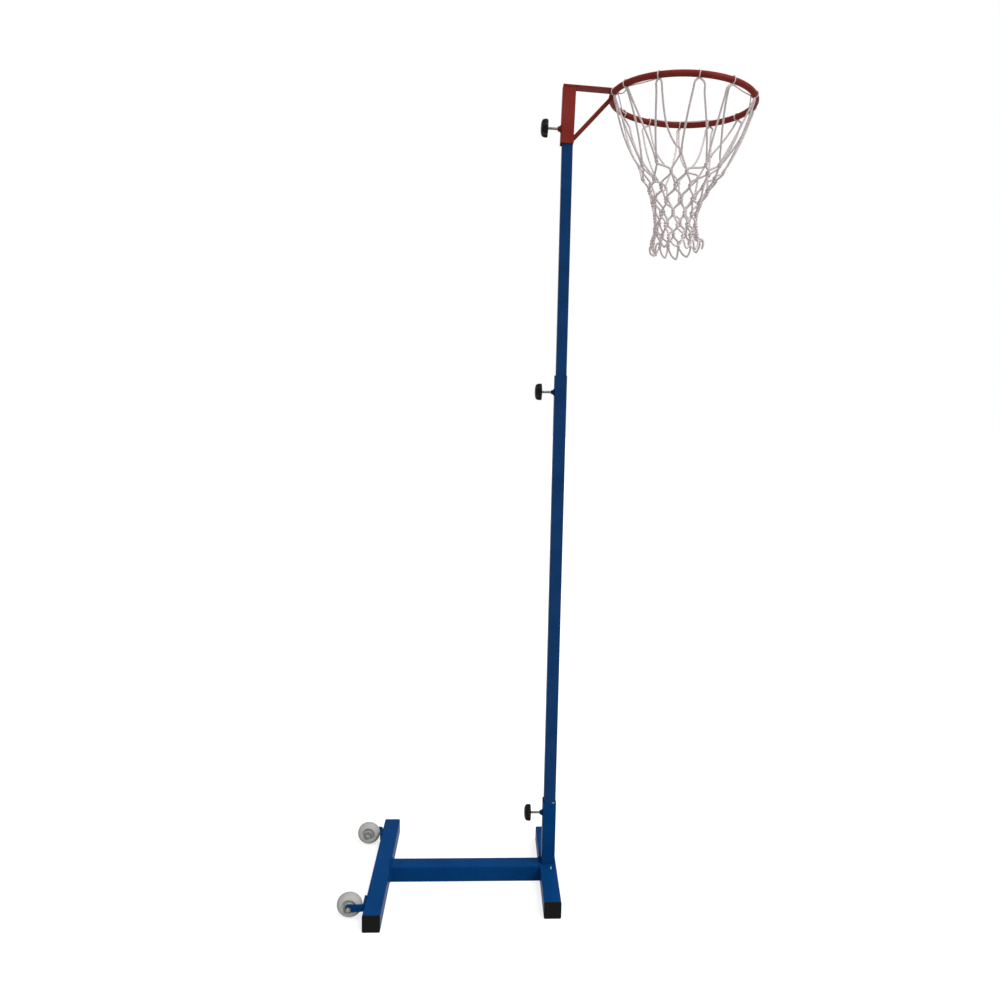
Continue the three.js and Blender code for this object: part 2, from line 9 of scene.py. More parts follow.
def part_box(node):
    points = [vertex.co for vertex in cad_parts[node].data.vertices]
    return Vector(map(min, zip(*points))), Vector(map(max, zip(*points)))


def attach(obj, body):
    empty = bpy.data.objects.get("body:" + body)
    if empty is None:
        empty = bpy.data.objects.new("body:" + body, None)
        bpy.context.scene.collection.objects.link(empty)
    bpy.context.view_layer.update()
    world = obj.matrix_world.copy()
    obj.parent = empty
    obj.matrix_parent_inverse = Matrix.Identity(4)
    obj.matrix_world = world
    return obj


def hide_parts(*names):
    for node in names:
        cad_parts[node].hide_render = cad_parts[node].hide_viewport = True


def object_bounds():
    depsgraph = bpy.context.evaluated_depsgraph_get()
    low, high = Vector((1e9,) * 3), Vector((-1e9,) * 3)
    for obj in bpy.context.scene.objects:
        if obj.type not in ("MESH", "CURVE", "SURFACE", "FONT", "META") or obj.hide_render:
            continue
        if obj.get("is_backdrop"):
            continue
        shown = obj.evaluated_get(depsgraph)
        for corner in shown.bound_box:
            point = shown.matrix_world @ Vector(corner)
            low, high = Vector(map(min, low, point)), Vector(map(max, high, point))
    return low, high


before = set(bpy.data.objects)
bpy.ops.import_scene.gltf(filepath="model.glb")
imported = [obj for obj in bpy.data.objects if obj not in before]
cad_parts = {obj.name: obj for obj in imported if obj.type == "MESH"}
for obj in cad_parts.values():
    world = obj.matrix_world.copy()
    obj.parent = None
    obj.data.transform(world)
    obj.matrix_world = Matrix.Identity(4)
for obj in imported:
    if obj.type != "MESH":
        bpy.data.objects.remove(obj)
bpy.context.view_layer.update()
bpy.ops.object.select_all(action="DESELECT")
MM = 0.001

# The camera stands 2.4 m in front of the post and a little to the left of the mast, at chest height.
# It looks a few degrees down and leans a little, as a hand-held camera does.
camera_place = Vector((-209.1, -2390.2, 1468.8)) * MM
camera_yaw = -0.0533
camera_pitch = 0.1158
camera_roll = 0.0225
image_width = 1000
focal_pixels = 823.97
centre_pixel = Vector((529.46, 494.33))
sensor_width = 36
furthest_seen = 100

bpy.ops.object.camera_add()
camera = bpy.context.object
camera.matrix_world = (
    Matrix.Translation(camera_place) @ Matrix.Rotation(camera_yaw, 4, "Z")
    @ Matrix.Rotation(pi / 2 - camera_pitch, 4, "X") @ Matrix.Rotation(camera_roll, 4, "Z")
)
camera.data.sensor_width = sensor_width
camera.data.lens = focal_pixels / image_width * sensor_width
camera.data.shift_x = (image_width / 2 - centre_pixel.x) / image_width
camera.data.shift_y = (centre_pixel.y - image_width / 2) / image_width
camera.data.clip_end = furthest_seen
bpy.context.scene.camera = camera

# The floor is a wide sheet of pale matt paper. It reads white to the camera and in reflections, and
# it keeps the soft shadow of the post.
floor_width = 60
floor_drop = 0.2 * MM
floor_white = "#bababa"
floor_lift = 0.72


def linear(hex_colour):
    """An sRGB hex value as a linear colour with alpha."""
    shares = [int(hex_colour[i:i + 2], 16) / 255 for i in (1, 3, 5)]
    return [s / 12.92 if s <= 0.04045 else ((s + 0.055) / 1.055) ** 2.4 for s in shares] + [1]


def wire(node, sockets):
    """Set a node's sockets: to a value, to another node's output, or to a node's first output in use."""
    for name, value in sockets.items():
        if isinstance(value, bpy.types.Node):
            value = next(output for output in value.outputs if output.enabled)
        if isinstance(value, bpy.types.NodeSocket):
            node.id_data.links.new(value, node.inputs[name])
        else:
            node.inputs[name].default_value = value


def add_node(tree, kind, sockets=None, **settings):
    """Add a node with its settings, and set or link its sockets."""
    node = tree.nodes.new(kind)
    for name, value in settings.items():
        setattr(node, name, value)
    wire(node, sockets or {})
    return node


def settle():
    """Put the place, turn and scale of what is selected into its mesh."""
    bpy.ops.object.transform_apply(location=True, rotation=True, scale=True)


def shown_rays(tree, kinds):
    """One for every ray from the camera and of the other kinds given, and nought for the rest."""
    rays = add_node(tree, "ShaderNodeLightPath")
    shown = rays.outputs["Is Camera Ray"]
    for kind in kinds:
        shown = add_node(tree, "ShaderNodeMath", {0: shown, 1: rays.outputs[kind]}, operation="MAXIMUM")
    return shown


bpy.ops.mesh.primitive_plane_add(size=floor_width, location=(0, 0, -floor_drop))
settle()
floor = bpy.context.object
floor.name = "floor"
paper = bpy.data.materials.new("matt_paper")
paper.use_nodes = True
tree = paper.node_tree
tree.nodes.clear()
shown = shown_rays(tree, ["Is Glossy Ray"])
lift = add_node(tree, "ShaderNodeMath", {0: shown, 1: floor_lift}, operation="MULTIPLY")
matt = add_node(tree, "ShaderNodeBsdfDiffuse", {"Color": linear(floor_white)})
glow = add_node(tree, "ShaderNodeEmission", {"Strength": lift})
both = add_node(tree, "ShaderNodeAddShader", {0: matt, 1: glow})
add_node(tree, "ShaderNodeOutputMaterial", {"Surface": both})
floor.data.materials.append(paper)
floor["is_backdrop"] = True

# The studio is an even pale room, with broad daylight from the front right and a weak light on the
# left. The room shows as white, and lights the post less than that.
room_level = 0.44
daylight = ((1.8, -1.8, 3.2), 45, 2.45)
side_light = ((-2.2, -0.8, 2.2), 40, 0.25)

world = bpy.data.worlds.new("pale_room")
bpy.context.scene.world = world
world.use_nodes = True
tree = world.node_tree
tree.nodes.clear()
shown = shown_rays(tree, ["Is Glossy Ray", "Is Transmission Ray"])
strength = add_node(tree, "ShaderNodeMapRange", {"Value": shown, "To Min": room_level, "To Max": 1.0})
room = add_node(tree, "ShaderNodeBackground", {"Color": (1, 1, 1, 1), "Strength": strength})
add_node(tree, "ShaderNodeOutputWorld", {"Surface": room})
for place, spread_degrees, power in (daylight, side_light):
    bpy.ops.object.light_add(type="SUN", location=place)
    lamp = bpy.context.object
    lamp.rotation_euler = (-Vector(place)).to_track_quat("-Z", "Y").to_euler()
    lamp.data.angle = radians(spread_degrees)
    lamp.data.energy = power
bpy.context.scene.view_settings.view_transform = "Standard"

# The base is an H of 50 mm square steel tube: two cross feet and the spine between them, welded
# and then sprayed blue. The tube is cold-rolled, so its corners are round.
foot_wall = 2.0 * MM
foot_corner = 4.5 * MM
corner_steps = 5
rim_rounding = 0.4 * MM
rim_angle = radians(60)
smooth_angle = radians(35)


def make_active(piece):
    """Select a piece and make it the one that operators work on."""
    piece.select_set(True)
    bpy.context.view_layer.objects.active = piece


def face_outwards():
    """Turn every face of the edited piece outwards, and leave edit mode."""
    bpy.ops.mesh.select_all(action="SELECT")
    bpy.ops.mesh.normals_make_consistent(inside=False)
    bpy.ops.object.mode_set(mode="OBJECT")


def pick(kind, test):
    """In edit mode, select only the parts of one kind that pass a test."""
    bpy.ops.mesh.select_mode(type=kind)
    bpy.ops.mesh.select_all(action="DESELECT")
    mesh = bmesh.from_edit_mesh(bpy.context.object.data)
    for part in {"EDGE": mesh.edges, "FACE": mesh.faces}[kind]:
        if test(part):
            part.select_set(True)
    mesh.select_flush_mode()
    bmesh.update_edit_mesh(bpy.context.object.data)


def apply_modifier(piece, kind, **settings):
    """Add a modifier with its settings and apply it."""
    modifier = piece.modifiers.new(kind.lower(), kind)
    for name, value in settings.items():
        setattr(modifier, name, value)
    bpy.ops.object.modifier_apply(modifier=modifier.name)


def finish(piece, name, body, look, replaced=(), placed=None):
    """Name a piece, put its place into its mesh, shade it, paint it and let it ride on its body."""
    slot, material = look
    piece.name = name
    piece.data.name = name
    settle()
    if placed is not None:
        piece.data.transform(placed)
    bpy.ops.object.shade_smooth_by_angle(angle=smooth_angle)
    apply_modifier(piece, "WEIGHTED_NORMAL", keep_sharp=True)
    piece.data.materials.clear()
    piece.data.materials.append(material)
    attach(piece, body)
    if replaced:
        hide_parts(*replaced)
    bpy.ops.object.select_all(action="DESELECT")


def block(sides, centre):
    """A plain block, from which tubes and flat bars are made."""
    bpy.ops.mesh.primitive_cube_add(size=1, location=centre, scale=sides)
    settle()
    return bpy.context.object


def square_tube(side, wall, corner, length):
    """A square tube with round corners along +Z, standing on zero, with its rims deburred."""
    tube = block((side, side, length), (0, 0, length / 2))
    bpy.ops.object.mode_set(mode="EDIT")
    pick("FACE", lambda face: abs(face.normal.z) > 0.9)
    bpy.ops.mesh.delete(type="ONLY_FACE")
    pick("EDGE", lambda edge: abs(edge.verts[0].co.z - edge.verts[1].co.z) > length / 2)
    bpy.ops.mesh.bevel(offset=corner, segments=corner_steps, affect="EDGES")
    bpy.ops.object.mode_set(mode="OBJECT")
    apply_modifier(tube, "SOLIDIFY", thickness=wall, offset=-1, use_even_offset=True)
    apply_modifier(tube, "BEVEL", width=rim_rounding, segments=2, angle_limit=rim_angle)
    return tube


def new_material(name):
    """A new material: the material, its tree, its Principled shader and the place on the piece."""
    made = bpy.data.materials.new(name)
    made.use_nodes = True
    tree = made.node_tree
    place = add_node(tree, "ShaderNodeTexCoord").outputs["Object"]
    return made, tree, tree.nodes["Principled BSDF"], place


# Sprayed enamel: the skin of the coat has an orange peel about 2 mm across. Dust lies on it in
# patches of about 70 mm, 14 to the metre. The rubs are about 17 mm wide and run on upwards.
base_rubs = (60, 60, 5)
peel_size = 2.0 * MM
dust_patches = 14.0
paint_peel_height = 0.4 * MM
paint_gloss = 0.01


def paint(name, colour, worn, shade, rubs):
    """Gloss enamel sprayed on steel: a faint orange-peel skin, dull patches of dust and a few rubs."""
    made, tree, skin, place = new_material(name)
    cloud = add_node(tree, "ShaderNodeTexNoise",
                     {"Vector": place, "Scale": dust_patches, "Detail": 4.0, "Roughness": 0.6})
    stretched = add_node(tree, "ShaderNodeMapping", {"Vector": place, "Scale": rubs})
    rub = add_node(tree, "ShaderNodeTexNoise",
                   {"Vector": stretched, "Scale": 1.0, "Detail": 6.0, "Roughness": 0.7})
    dusty = add_node(tree, "ShaderNodeMapRange", {"Value": cloud, "From Min": 0.35, "From Max": 0.65})
    tint = add_node(tree, "ShaderNodeMix", {"Factor": dusty, "A": linear(shade), "B": linear(colour)},
                    data_type="RGBA")
    scuffed = add_node(tree, "ShaderNodeMapRange",
                       {"Value": rub, "From Min": 0.66, "From Max": 0.78, "To Min": 0.0, "To Max": 0.35})
    coat = add_node(tree, "ShaderNodeMix", {"Factor": scuffed, "A": tint, "B": linear(worn)},
                    data_type="RGBA")
    rough = add_node(tree, "ShaderNodeMapRange", {"Value": rub, "To Min": 0.26, "To Max": 0.44})
    peel = add_node(tree, "ShaderNodeTexNoise", {"Vector": place, "Scale": 1 / peel_size, "Detail": 2.0})
    bump = add_node(tree, "ShaderNodeBump",
                    {"Height": peel, "Strength": 0.12, "Distance": paint_peel_height})
    wire(skin, {"Base Color": coat, "Roughness": rough, "Normal": bump, "Specular IOR Level": paint_gloss})
    return made


blue = ("blue_paint", paint("blue_enamel", "#073c72", "#1f5288", "#063668", base_rubs))

for label in ("rear", "front"):
    low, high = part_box(f"{label}_foot_tube")
    foot = square_tube(high.x - low.x, foot_wall, foot_corner, high.y - low.y)
    foot.rotation_euler.x = -pi / 2
    foot.location = ((low.x + high.x) / 2, low.y, (low.z + high.z) / 2)
    finish(foot, f"{label}_cross_foot", "base", blue, [f"{label}_foot_tube"])
low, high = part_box("spine_tube")
spine = square_tube(high.z - low.z, foot_wall, foot_corner, high.x - low.x)
spine.rotation_euler.y = pi / 2
spine.location = (low.x, 0, high.z / 2)
finish(spine, "base_spine", "base", blue, ["spine_tube"])

# Each cut end of the feet is closed by a black polyethylene plug: a flange as big as the tube, with
# a hollow stem pushed into the tube. The flange's edge is rounded and its face is a little dished.
plug_rounding = 1.2 * MM
plug_dish = 0.4 * MM
plug_rim = 5.0 * MM
plug_wall = 3.0 * MM
plug_slack = 0.6 * MM
same_height = 0.01 * MM
# Plastic is mottled a little, every 30 mm or so: 35 times to the metre
plastic_mottles = 35.0
plastic_gloss = 0.08


def mottled(tree, place, per_metre, detail, shade, colour):
    """Clouds so many to the metre, and two shades that drift into each other in them."""
    cloud = add_node(tree, "ShaderNodeTexNoise", {"Vector": place, "Scale": per_metre, "Detail": detail})
    tint = add_node(tree, "ShaderNodeMix", {"Factor": cloud, "A": linear(shade), "B": linear(colour)},
                    data_type="RGBA")
    return cloud, tint


def plastic(name, colour, shade, grain, rough, bump_depth):
    """Moulded plastic: even in colour, with a fine spark-eroded grain that scatters its gloss."""
    made, tree, skin, place = new_material(name)
    cloud, tint = mottled(tree, place, plastic_mottles, 5.0, shade, colour)
    spread = add_node(tree, "ShaderNodeMapRange",
                      {"Value": cloud, "To Min": rough - 0.08, "To Max": rough + 0.08})
    spark = add_node(tree, "ShaderNodeTexNoise", {"Vector": place, "Scale": 1 / grain, "Detail": 3.0})
    bump = add_node(tree, "ShaderNodeBump", {"Height": spark, "Strength": 0.3, "Distance": bump_depth})
    wire(skin, {"Base Color": tint, "Roughness": spread, "Normal": bump,
                "Specular IOR Level": plastic_gloss})
    return made


# Black polyethylene: waxy, mottled a little, with a grain of about 0.6 mm.
cap = ("cap_plastic", plastic("black_polyethylene", "#0d0e0d", "#080808", 0.6 * MM, 0.5, 0.05 * MM))


def tube_plug(side, corner, flange, stem_side, stem):
    """A flanged plug along +Z: the flange stands on zero, and the hollow stem hangs below it."""
    bpy.ops.mesh.primitive_plane_add(size=side)
    plug = bpy.context.object
    bpy.ops.object.mode_set(mode="EDIT")
    bpy.ops.mesh.select_all(action="SELECT")
    bpy.ops.mesh.bevel(offset=corner, segments=corner_steps, affect="VERTICES")
    front = []
    for turn in (0, pi / 6, pi / 3, pi / 2):
        front.append((flange - plug_rounding * (1 - sin(turn)),
                      side - 2 * plug_rounding * (1 - cos(turn))))
    front += [(flange, side - 2 * plug_rim), (flange - plug_dish, side - 2 * plug_rim - 2 * plug_dish)]
    bore = stem_side - 2 * plug_wall
    back = [(0, stem_side), (-stem, stem_side), (-stem, bore), (-plug_rounding, bore)]
    for outline in (front, back):
        height, width = 0, side
        pick("FACE", lambda face: all(abs(v.co.z) < same_height for v in face.verts))
        for next_height, next_width in outline:
            bpy.ops.mesh.extrude_region_move(TRANSFORM_OT_translate={"value": (0, 0, next_height - height)})
            bpy.ops.transform.resize(value=(next_width / width, next_width / width, 1))
            height, width = next_height, next_width
    face_outwards()
    return plug


foot_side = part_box("front_foot_tube")[1].z
for label in ("rear", "front"):
    for end, sign in (("near", -1), ("far", 1)):
        node = f"{label}_foot_cap_{end}"
        low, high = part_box(node)
        tube_low, tube_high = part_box(f"{label}_foot_tube")
        face = tube_low.y if sign < 0 else tube_high.y
        flange = (face - low.y) if sign < 0 else (high.y - face)
        plug = tube_plug(foot_side, foot_corner, flange, foot_side - 2 * foot_wall - plug_slack,
                         (high.y - low.y) - flange)
        plug.rotation_euler.x = -sign * pi / 2
        plug.location = ((low.x + high.x) / 2, face, (low.z + high.z) / 2)
        finish(plug, node.replace("cap", "plug"), "base", cap, [node])

# The mast socket is a 40 mm tube welded upright on the front foot. Its mouth is left open, so the
# lower mast shows a dark slit where the clamp screw pushes it to the far wall.
socket_wall = 1.5 * MM
mast_corner = 2.8 * MM
hole_radius = 4.3 * MM
hole_depth = 10 * MM


def middle(node):
    """The middle of a CAD piece."""
    low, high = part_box(node)
    return (low + high) / 2


def drill(piece, place, direction, depth=hole_depth):
    """Cut the clearance hole of a screw or a bolt through one wall."""
    bpy.ops.mesh.primitive_cylinder_add(vertices=32, radius=hole_radius, depth=depth, location=place)
    drill_bit = bpy.context.object
    drill_bit.rotation_euler = Vector(direction).to_track_quat("Z", "Y").to_euler()
    bpy.context.view_layer.update()
    bpy.ops.object.select_all(action="DESELECT")
    make_active(piece)
    apply_modifier(piece, "BOOLEAN", operation="DIFFERENCE", object=drill_bit, solver="EXACT")
    bpy.data.objects.remove(drill_bit)


low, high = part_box("mast_socket")
socket = square_tube(high.x - low.x, socket_wall, mast_corner, high.z - low.z)
socket.location = (0, 0, low.z)
settle()
drill(socket, (low.x, 0, middle("socket_clamp_nut").z), (1, 0, 0))
finish(socket, "mast_socket_tube", "base", blue, ["mast_socket"])

# The two masts are 35 mm and 30 mm tube. The thinner one slides inside the thicker one, and the inner one
# stands against the wall that its clamp screw pushes it to. Their enamel is coloured a little duller and
# greyer than that of the base.
lower_wall = 1.2 * MM
upper_wall = 1.5 * MM
inner_plug_flange = 4 * MM
inner_plug_stem = 20 * MM
greyer_blue = ("blue_paint", paint("greyer_blue_enamel", "#173d6c", "#2f5788", "#143662", base_rubs))
for label, wall, nut_node in (("lower_mast", lower_wall, "mast_clamp_nut"), ("upper_mast", upper_wall, None)):
    low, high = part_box(f"{label}_tube")
    mast = square_tube(high.x - low.x, wall, mast_corner, high.z - low.z)
    mast.location = ((low.x + high.x) / 2, 0, low.z)
    settle()
    if nut_node:
        drill(mast, (low.x, 0, middle(nut_node).z), (1, 0, 0))
    finish(mast, f"{label}_steel", label, greyer_blue, [f"{label}_tube"])
mast_low, mast_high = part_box("upper_mast_tube")
mast_side = mast_high.x - mast_low.x

# Inside the upper mast, a plug guides its hidden foot, and another closes its top.
low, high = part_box("upper_mast_foot_plug")
plug = tube_plug(high.x - low.x, mast_corner, inner_plug_flange, mast_side - 2 * upper_wall - plug_slack,
                 inner_plug_stem)
plug.rotation_euler.x = pi
plug.location = ((low.x + high.x) / 2, 0, low.z + inner_plug_flange)
finish(plug, "mast_foot_plug", "upper_mast", cap, ["upper_mast_foot_plug"])
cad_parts["upper_mast_top_plug"].data.materials.clear()
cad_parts["upper_mast_top_plug"].data.materials.append(cap[1])

# The ring head hangs on the mast top by its sleeve, thin 36 mm square tube sprayed red. The sleeve
# has slack, so the head tips towards the ring until the sleeve bears on two edges. Its clamp and
# every red piece stand in this tipped frame.
seat_gap = 0.3 * MM
sleeve_side = 36 * MM
sleeve_wall = 1 * MM
sleeve_length = 150 * MM
sleeve_overlap = 139 * MM
head_clamp_rise = 41 * MM
sleeve_inside = sleeve_side - 2 * sleeve_wall
head_lean = atan2(sleeve_inside - mast_side - 2 * seat_gap, sleeve_overlap)
head_x = mast_high.x + seat_gap - sleeve_inside / 2
head_frame = (
    Matrix.Translation((head_x, 0, mast_high.z - sleeve_overlap)) @ Matrix.Rotation(head_lean, 4, "Y")
)
# Red enamel, sprayed as the blue is: dusty, a little faded, with shorter rubs.
head_rubs = (60, 60, 8)
red = ("red_paint", paint("red_enamel", "#88352e", "#9a4e42", "#7c2d26", head_rubs))

# Each clamp is an M8 zinc-plated screw in a nut that is welded to the tube over a clearance hole,
# with a black nylon lobed knob on its head. The weld is painted over with the tube.
nut_across = 13 * MM
nut_height = 9.5 * MM
nut_dome = 3.4 * MM
nut_crown = 1.05 * nut_dome
nut_weld_radius = 7.9 * MM
nut_weld_rise = 0.6 * MM
thread_diameter = 8 * MM
thread_pitch = 1.25 * MM
thread_depth = 0.65 * MM
thread_rings_per_turn = 4
knob_diameter = 51 * MM
knob_thickness = 20.5 * MM
knob_lobes = 8
knob_steps_per_lobe = 12
knob_lobe_depth = 3.0 * MM
knob_lobe_power = 1.4
knob_hub = 20 * MM
knob_rim = 5 * MM
knob_dish = 2.2 * MM
knob_bore_depth = 12 * MM
knob_stand_off = 26 * MM
nut_bead = 2.53 * MM
nut_bead_points = 12
bead_ripple = 1.6 * MM
bead_swell = 0.1
bead_dip = 0.16
steel_clouds = 220.0


def bearing(angle):
    """The level direction at an angle from the x axis."""
    return Vector((cos(angle), sin(angle), 0))


def hexagon(height, base):
    """A hexagon along +Z from its base, 13 mm across its flats."""
    bpy.ops.mesh.primitive_cylinder_add(
        vertices=6, radius=nut_across / 2 / cos(pi / 6), depth=height,
        location=(0, 0, base + height / 2))
    return bpy.context.object


def spun(profile, steps):
    """A body of revolution about +Z from (radius, height) points."""
    mesh = bpy.data.meshes.new("profile")
    mesh.from_pydata([(r, 0, z) for r, z in profile], [(i, i + 1) for i in range(len(profile) - 1)], [])
    body = bpy.data.objects.new("profile", mesh)
    bpy.context.scene.collection.objects.link(body)
    make_active(body)
    bpy.ops.object.mode_set(mode="EDIT")
    bpy.ops.mesh.select_all(action="SELECT")
    bpy.ops.mesh.spin(steps=steps, angle=2 * pi, center=(0, 0, 0), axis=(0, 0, 1))
    bpy.ops.mesh.select_all(action="SELECT")
    bpy.ops.mesh.remove_doubles(threshold=0.002 * MM)
    face_outwards()
    return body


def weld_bead(points, radius, closed=False, ripple=bead_ripple):
    """A hand-laid fillet weld: a round bead along a line, with a ripple for each drop of metal."""
    route = list(points) + ([points[0]] if closed else [])
    places = []
    for start, end in zip(route, route[1:]):
        count = max(2, round((end - start).length / (ripple / 2)))
        places += [start.lerp(end, i / count) for i in range(count)]
    if not closed:
        places.append(route[-1])
    bpy.ops.curve.primitive_nurbs_path_add()
    bead = bpy.context.object
    bead.data.splines.clear()
    line = bead.data.splines.new("POLY")
    line.points.add(len(places) - 1)
    line.use_cyclic_u = closed
    for i, place in enumerate(places):
        line.points[i].co = (*place, 1)
        line.points[i].radius = 1 + random.uniform(-bead_swell, bead_swell) - (bead_dip if i % 2 else 0)
    bead.data.bevel_depth = radius
    bead.data.bevel_resolution = 3
    bead.data.use_fill_caps = True
    bpy.ops.object.convert(target="MESH")
    return bpy.context.object


def plated_steel(name, colour, rough):
    """Bright plated or bare steel: a cool mirror-like grey, clouded by handling."""
    made, tree, skin, place = new_material(name)
    cloud, tint = mottled(tree, place, steel_clouds, 4.0, "#5c5b57", colour)
    spread = add_node(tree, "ShaderNodeMapRange",
                      {"Value": cloud, "To Min": rough - 0.08, "To Max": rough + 0.15})
    wire(skin, {"Base Color": tint, "Roughness": spread, "Metallic": 1.0})
    return made


random.seed(8)
# The steel's cloudy marks are about 5 mm across, 220 to the metre.
zinc = ("zinc_plate", plated_steel("zinc_plated_steel", "#a7a7a2", 0.36))
# Black nylon: harder and glossier than the caps, with a grain of about 0.5 mm.
knob_black = ("knob_plastic", plastic("black_nylon", "#12100e", "#0b0a09", 0.5 * MM, 0.42, 0.04 * MM))

# Each clamp: its name, what carries it, its coat, its place, how far out the tube's face is, how far
# the knob is turned, and how far the screw leans.
head_clamp_place = head_frame @ Matrix.Translation((0, 0, head_clamp_rise))
clamps = [("head", "head", red, head_clamp_place, sleeve_side / 2, 0, head_lean)]
for label, carrier, node, knob_turn in (
        ("socket", "base", "mast_socket", 0),
        ("mast", "lower_mast", "lower_mast_tube", pi / knob_lobes)):
    low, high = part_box(node)
    place = Matrix.Translation((middle(node).x, 0, middle(f"{label}_clamp_nut").z))
    clamps.append((label, carrier, blue, place, (high.x - low.x) / 2, knob_turn, 0))
for label, carrier, coat, place, face, knob_turn, lean in clamps:
    clamp_frame = place @ Matrix.Rotation(-pi / 2, 4, "Y")

    # the nut: a hexagon with its free end turned to a dome, and a round bead at its foot
    nut = hexagon(nut_height, face)
    bpy.ops.object.mode_set(mode="EDIT")
    pick("FACE", lambda part: part.normal.z > 0.9)
    bpy.ops.mesh.inset(thickness=nut_crown)
    pick("EDGE", lambda edge: all(abs(v.co.z - nut_height / 2) < same_height for v in edge.verts)
         and max(v.co.to_2d().length for v in edge.verts) > nut_across / 2)
    bpy.ops.mesh.bevel(offset=nut_dome, segments=4, affect="EDGES")
    bpy.ops.object.mode_set(mode="OBJECT")
    finish(nut, f"{label}_weld_nut", carrier, coat, [f"{label}_clamp_nut"], clamp_frame)
    nut_foot = Vector((0, 0, face + nut_weld_rise))
    ring_line = [nut_foot + bearing(2 * pi * i / nut_bead_points) * nut_weld_radius
                 for i in range(nut_bead_points)]
    bead = weld_bead(ring_line, nut_bead, True)
    finish(bead, f"{label}_nut_weld", carrier, coat, (), clamp_frame)

    # the screw: a rolled thread from end to end
    low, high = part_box(f"{label}_clamp_screw")
    knob_face = face + nut_height + knob_stand_off
    screw_end = knob_face + knob_bore_depth - seat_gap
    screw_length = (high - low).x / cos(lean)
    bpy.ops.mesh.primitive_cylinder_add(
        vertices=20, radius=thread_diameter / 2, depth=screw_length,
        location=(0, 0, screw_end - screw_length / 2))
    screw = bpy.context.object
    settle()
    bpy.ops.object.mode_set(mode="EDIT")
    pick("EDGE", lambda edge: abs(edge.verts[0].co.z - edge.verts[1].co.z) > screw_length / 2)
    bpy.ops.mesh.subdivide(number_cuts=round(screw_length / thread_pitch * thread_rings_per_turn))
    bpy.ops.object.mode_set(mode="OBJECT")
    for vertex in screw.data.vertices:
        turn = atan2(vertex.co.y, vertex.co.x) / (2 * pi)
        share = (vertex.co.z / thread_pitch - turn) % 1
        cut = thread_depth * (1 - abs(2 * share - 1))
        shrink = 1 - cut / (thread_diameter / 2)
        vertex.co.x *= shrink
        vertex.co.y *= shrink
    finish(screw, f"{label}_screw", f"{label}_screw", zinc, [f"{label}_clamp_screw"], clamp_frame)

    # the knob: a hub, a dished back and a domed front, with the lobes drawn in between the fingers
    outer, hub, top = knob_diameter / 2, knob_hub / 2, knob_thickness
    bore = thread_diameter / 2 + seat_gap
    knob = spun([
        (0, knob_bore_depth), (bore, knob_bore_depth), (bore, 0), (hub - 1 * MM, 0), (hub, 0.8 * MM),
        (hub + 1 * MM, knob_dish), (outer - knob_rim, knob_dish), (outer - 0.6 * knob_rim, 0.6 * MM),
        (outer - 0.25 * knob_rim, 1.4 * MM), (outer, 0.7 * knob_rim), (outer, top - 2.4 * knob_rim),
        (outer - 0.6 * MM, top - 1.7 * knob_rim), (outer - 2.2 * MM, top - knob_rim),
        (outer - knob_rim, top - 0.56 * knob_rim), (outer - 2 * knob_rim, top - 0.2 * knob_rim),
        (hub, top - 0.2 * MM), (0, top),
    ], knob_lobes * knob_steps_per_lobe)
    for vertex in knob.data.vertices:
        reach = vertex.co.to_2d().length
        if reach > hub + seat_gap:
            angle = atan2(vertex.co.y, vertex.co.x)
            lobe = abs(sin(knob_lobes * angle / 2)) ** knob_lobe_power
            grip = min(1, (reach - hub) / (outer - hub))
            shrink = 1 - knob_lobe_depth * lobe * grip / outer
            vertex.co.x *= shrink
            vertex.co.y *= shrink
    knob.location.z = knob_face
    knob.rotation_euler.z = knob_turn
    finish(knob, f"{label}_knob", f"{label}_knob", knob_black, [f"{label}_clamp_knob"], clamp_frame)

# The ring head is welded of steel and sprayed red. A flat bar lies on the sleeve's top, droops a
# little and carries the ring, a hoop of round bar. A round brace runs up to it from the sleeve's foot.
bar_thickness = 5 * MM
bar_reach = 104 * MM
bar_droop = radians(1)
bar_rounding = 0.9 * MM
brace_diameter = 12 * MM
brace_rise = 17 * MM
brace_below_ring_axis = 6 * MM
ring_inside = 380 * MM
ring_rod = 17 * MM
ring_left_reach = 103 * MM
ring_radius = (ring_inside + ring_rod) / 2

sleeve = square_tube(sleeve_side, sleeve_wall, mast_corner, sleeve_length)
drill(sleeve, (-sleeve_side / 2, 0, head_clamp_rise), (1, 0, 0))
finish(sleeve, "sleeve", "head", red, ["head_sleeve"], head_frame)

bar_frame = (
    head_frame @ Matrix.Translation((sleeve_side / 2, 0, sleeve_length + seat_gap))
    @ Matrix.Rotation(bar_droop, 4, "Y")
)
bar_length = sleeve_side + bar_reach
bar = block((bar_length, sleeve_side, bar_thickness), (bar_length / 2 - sleeve_side, 0, bar_thickness / 2))
apply_modifier(bar, "BEVEL", width=bar_rounding, segments=3, angle_limit=rim_angle)
finish(bar, "flat_bar_arm", "head", red, ["ring_arm"], bar_frame)

ring_frame = bar_frame @ Matrix.Translation(
    (ring_left_reach + ring_radius, 0, -ring_rod / 2 - seat_gap))
bpy.ops.mesh.primitive_torus_add(
    major_segments=160, minor_segments=24, major_radius=ring_radius, minor_radius=ring_rod / 2)
finish(bpy.context.object, "round_bar_ring", "head", red, ["ring"], ring_frame)

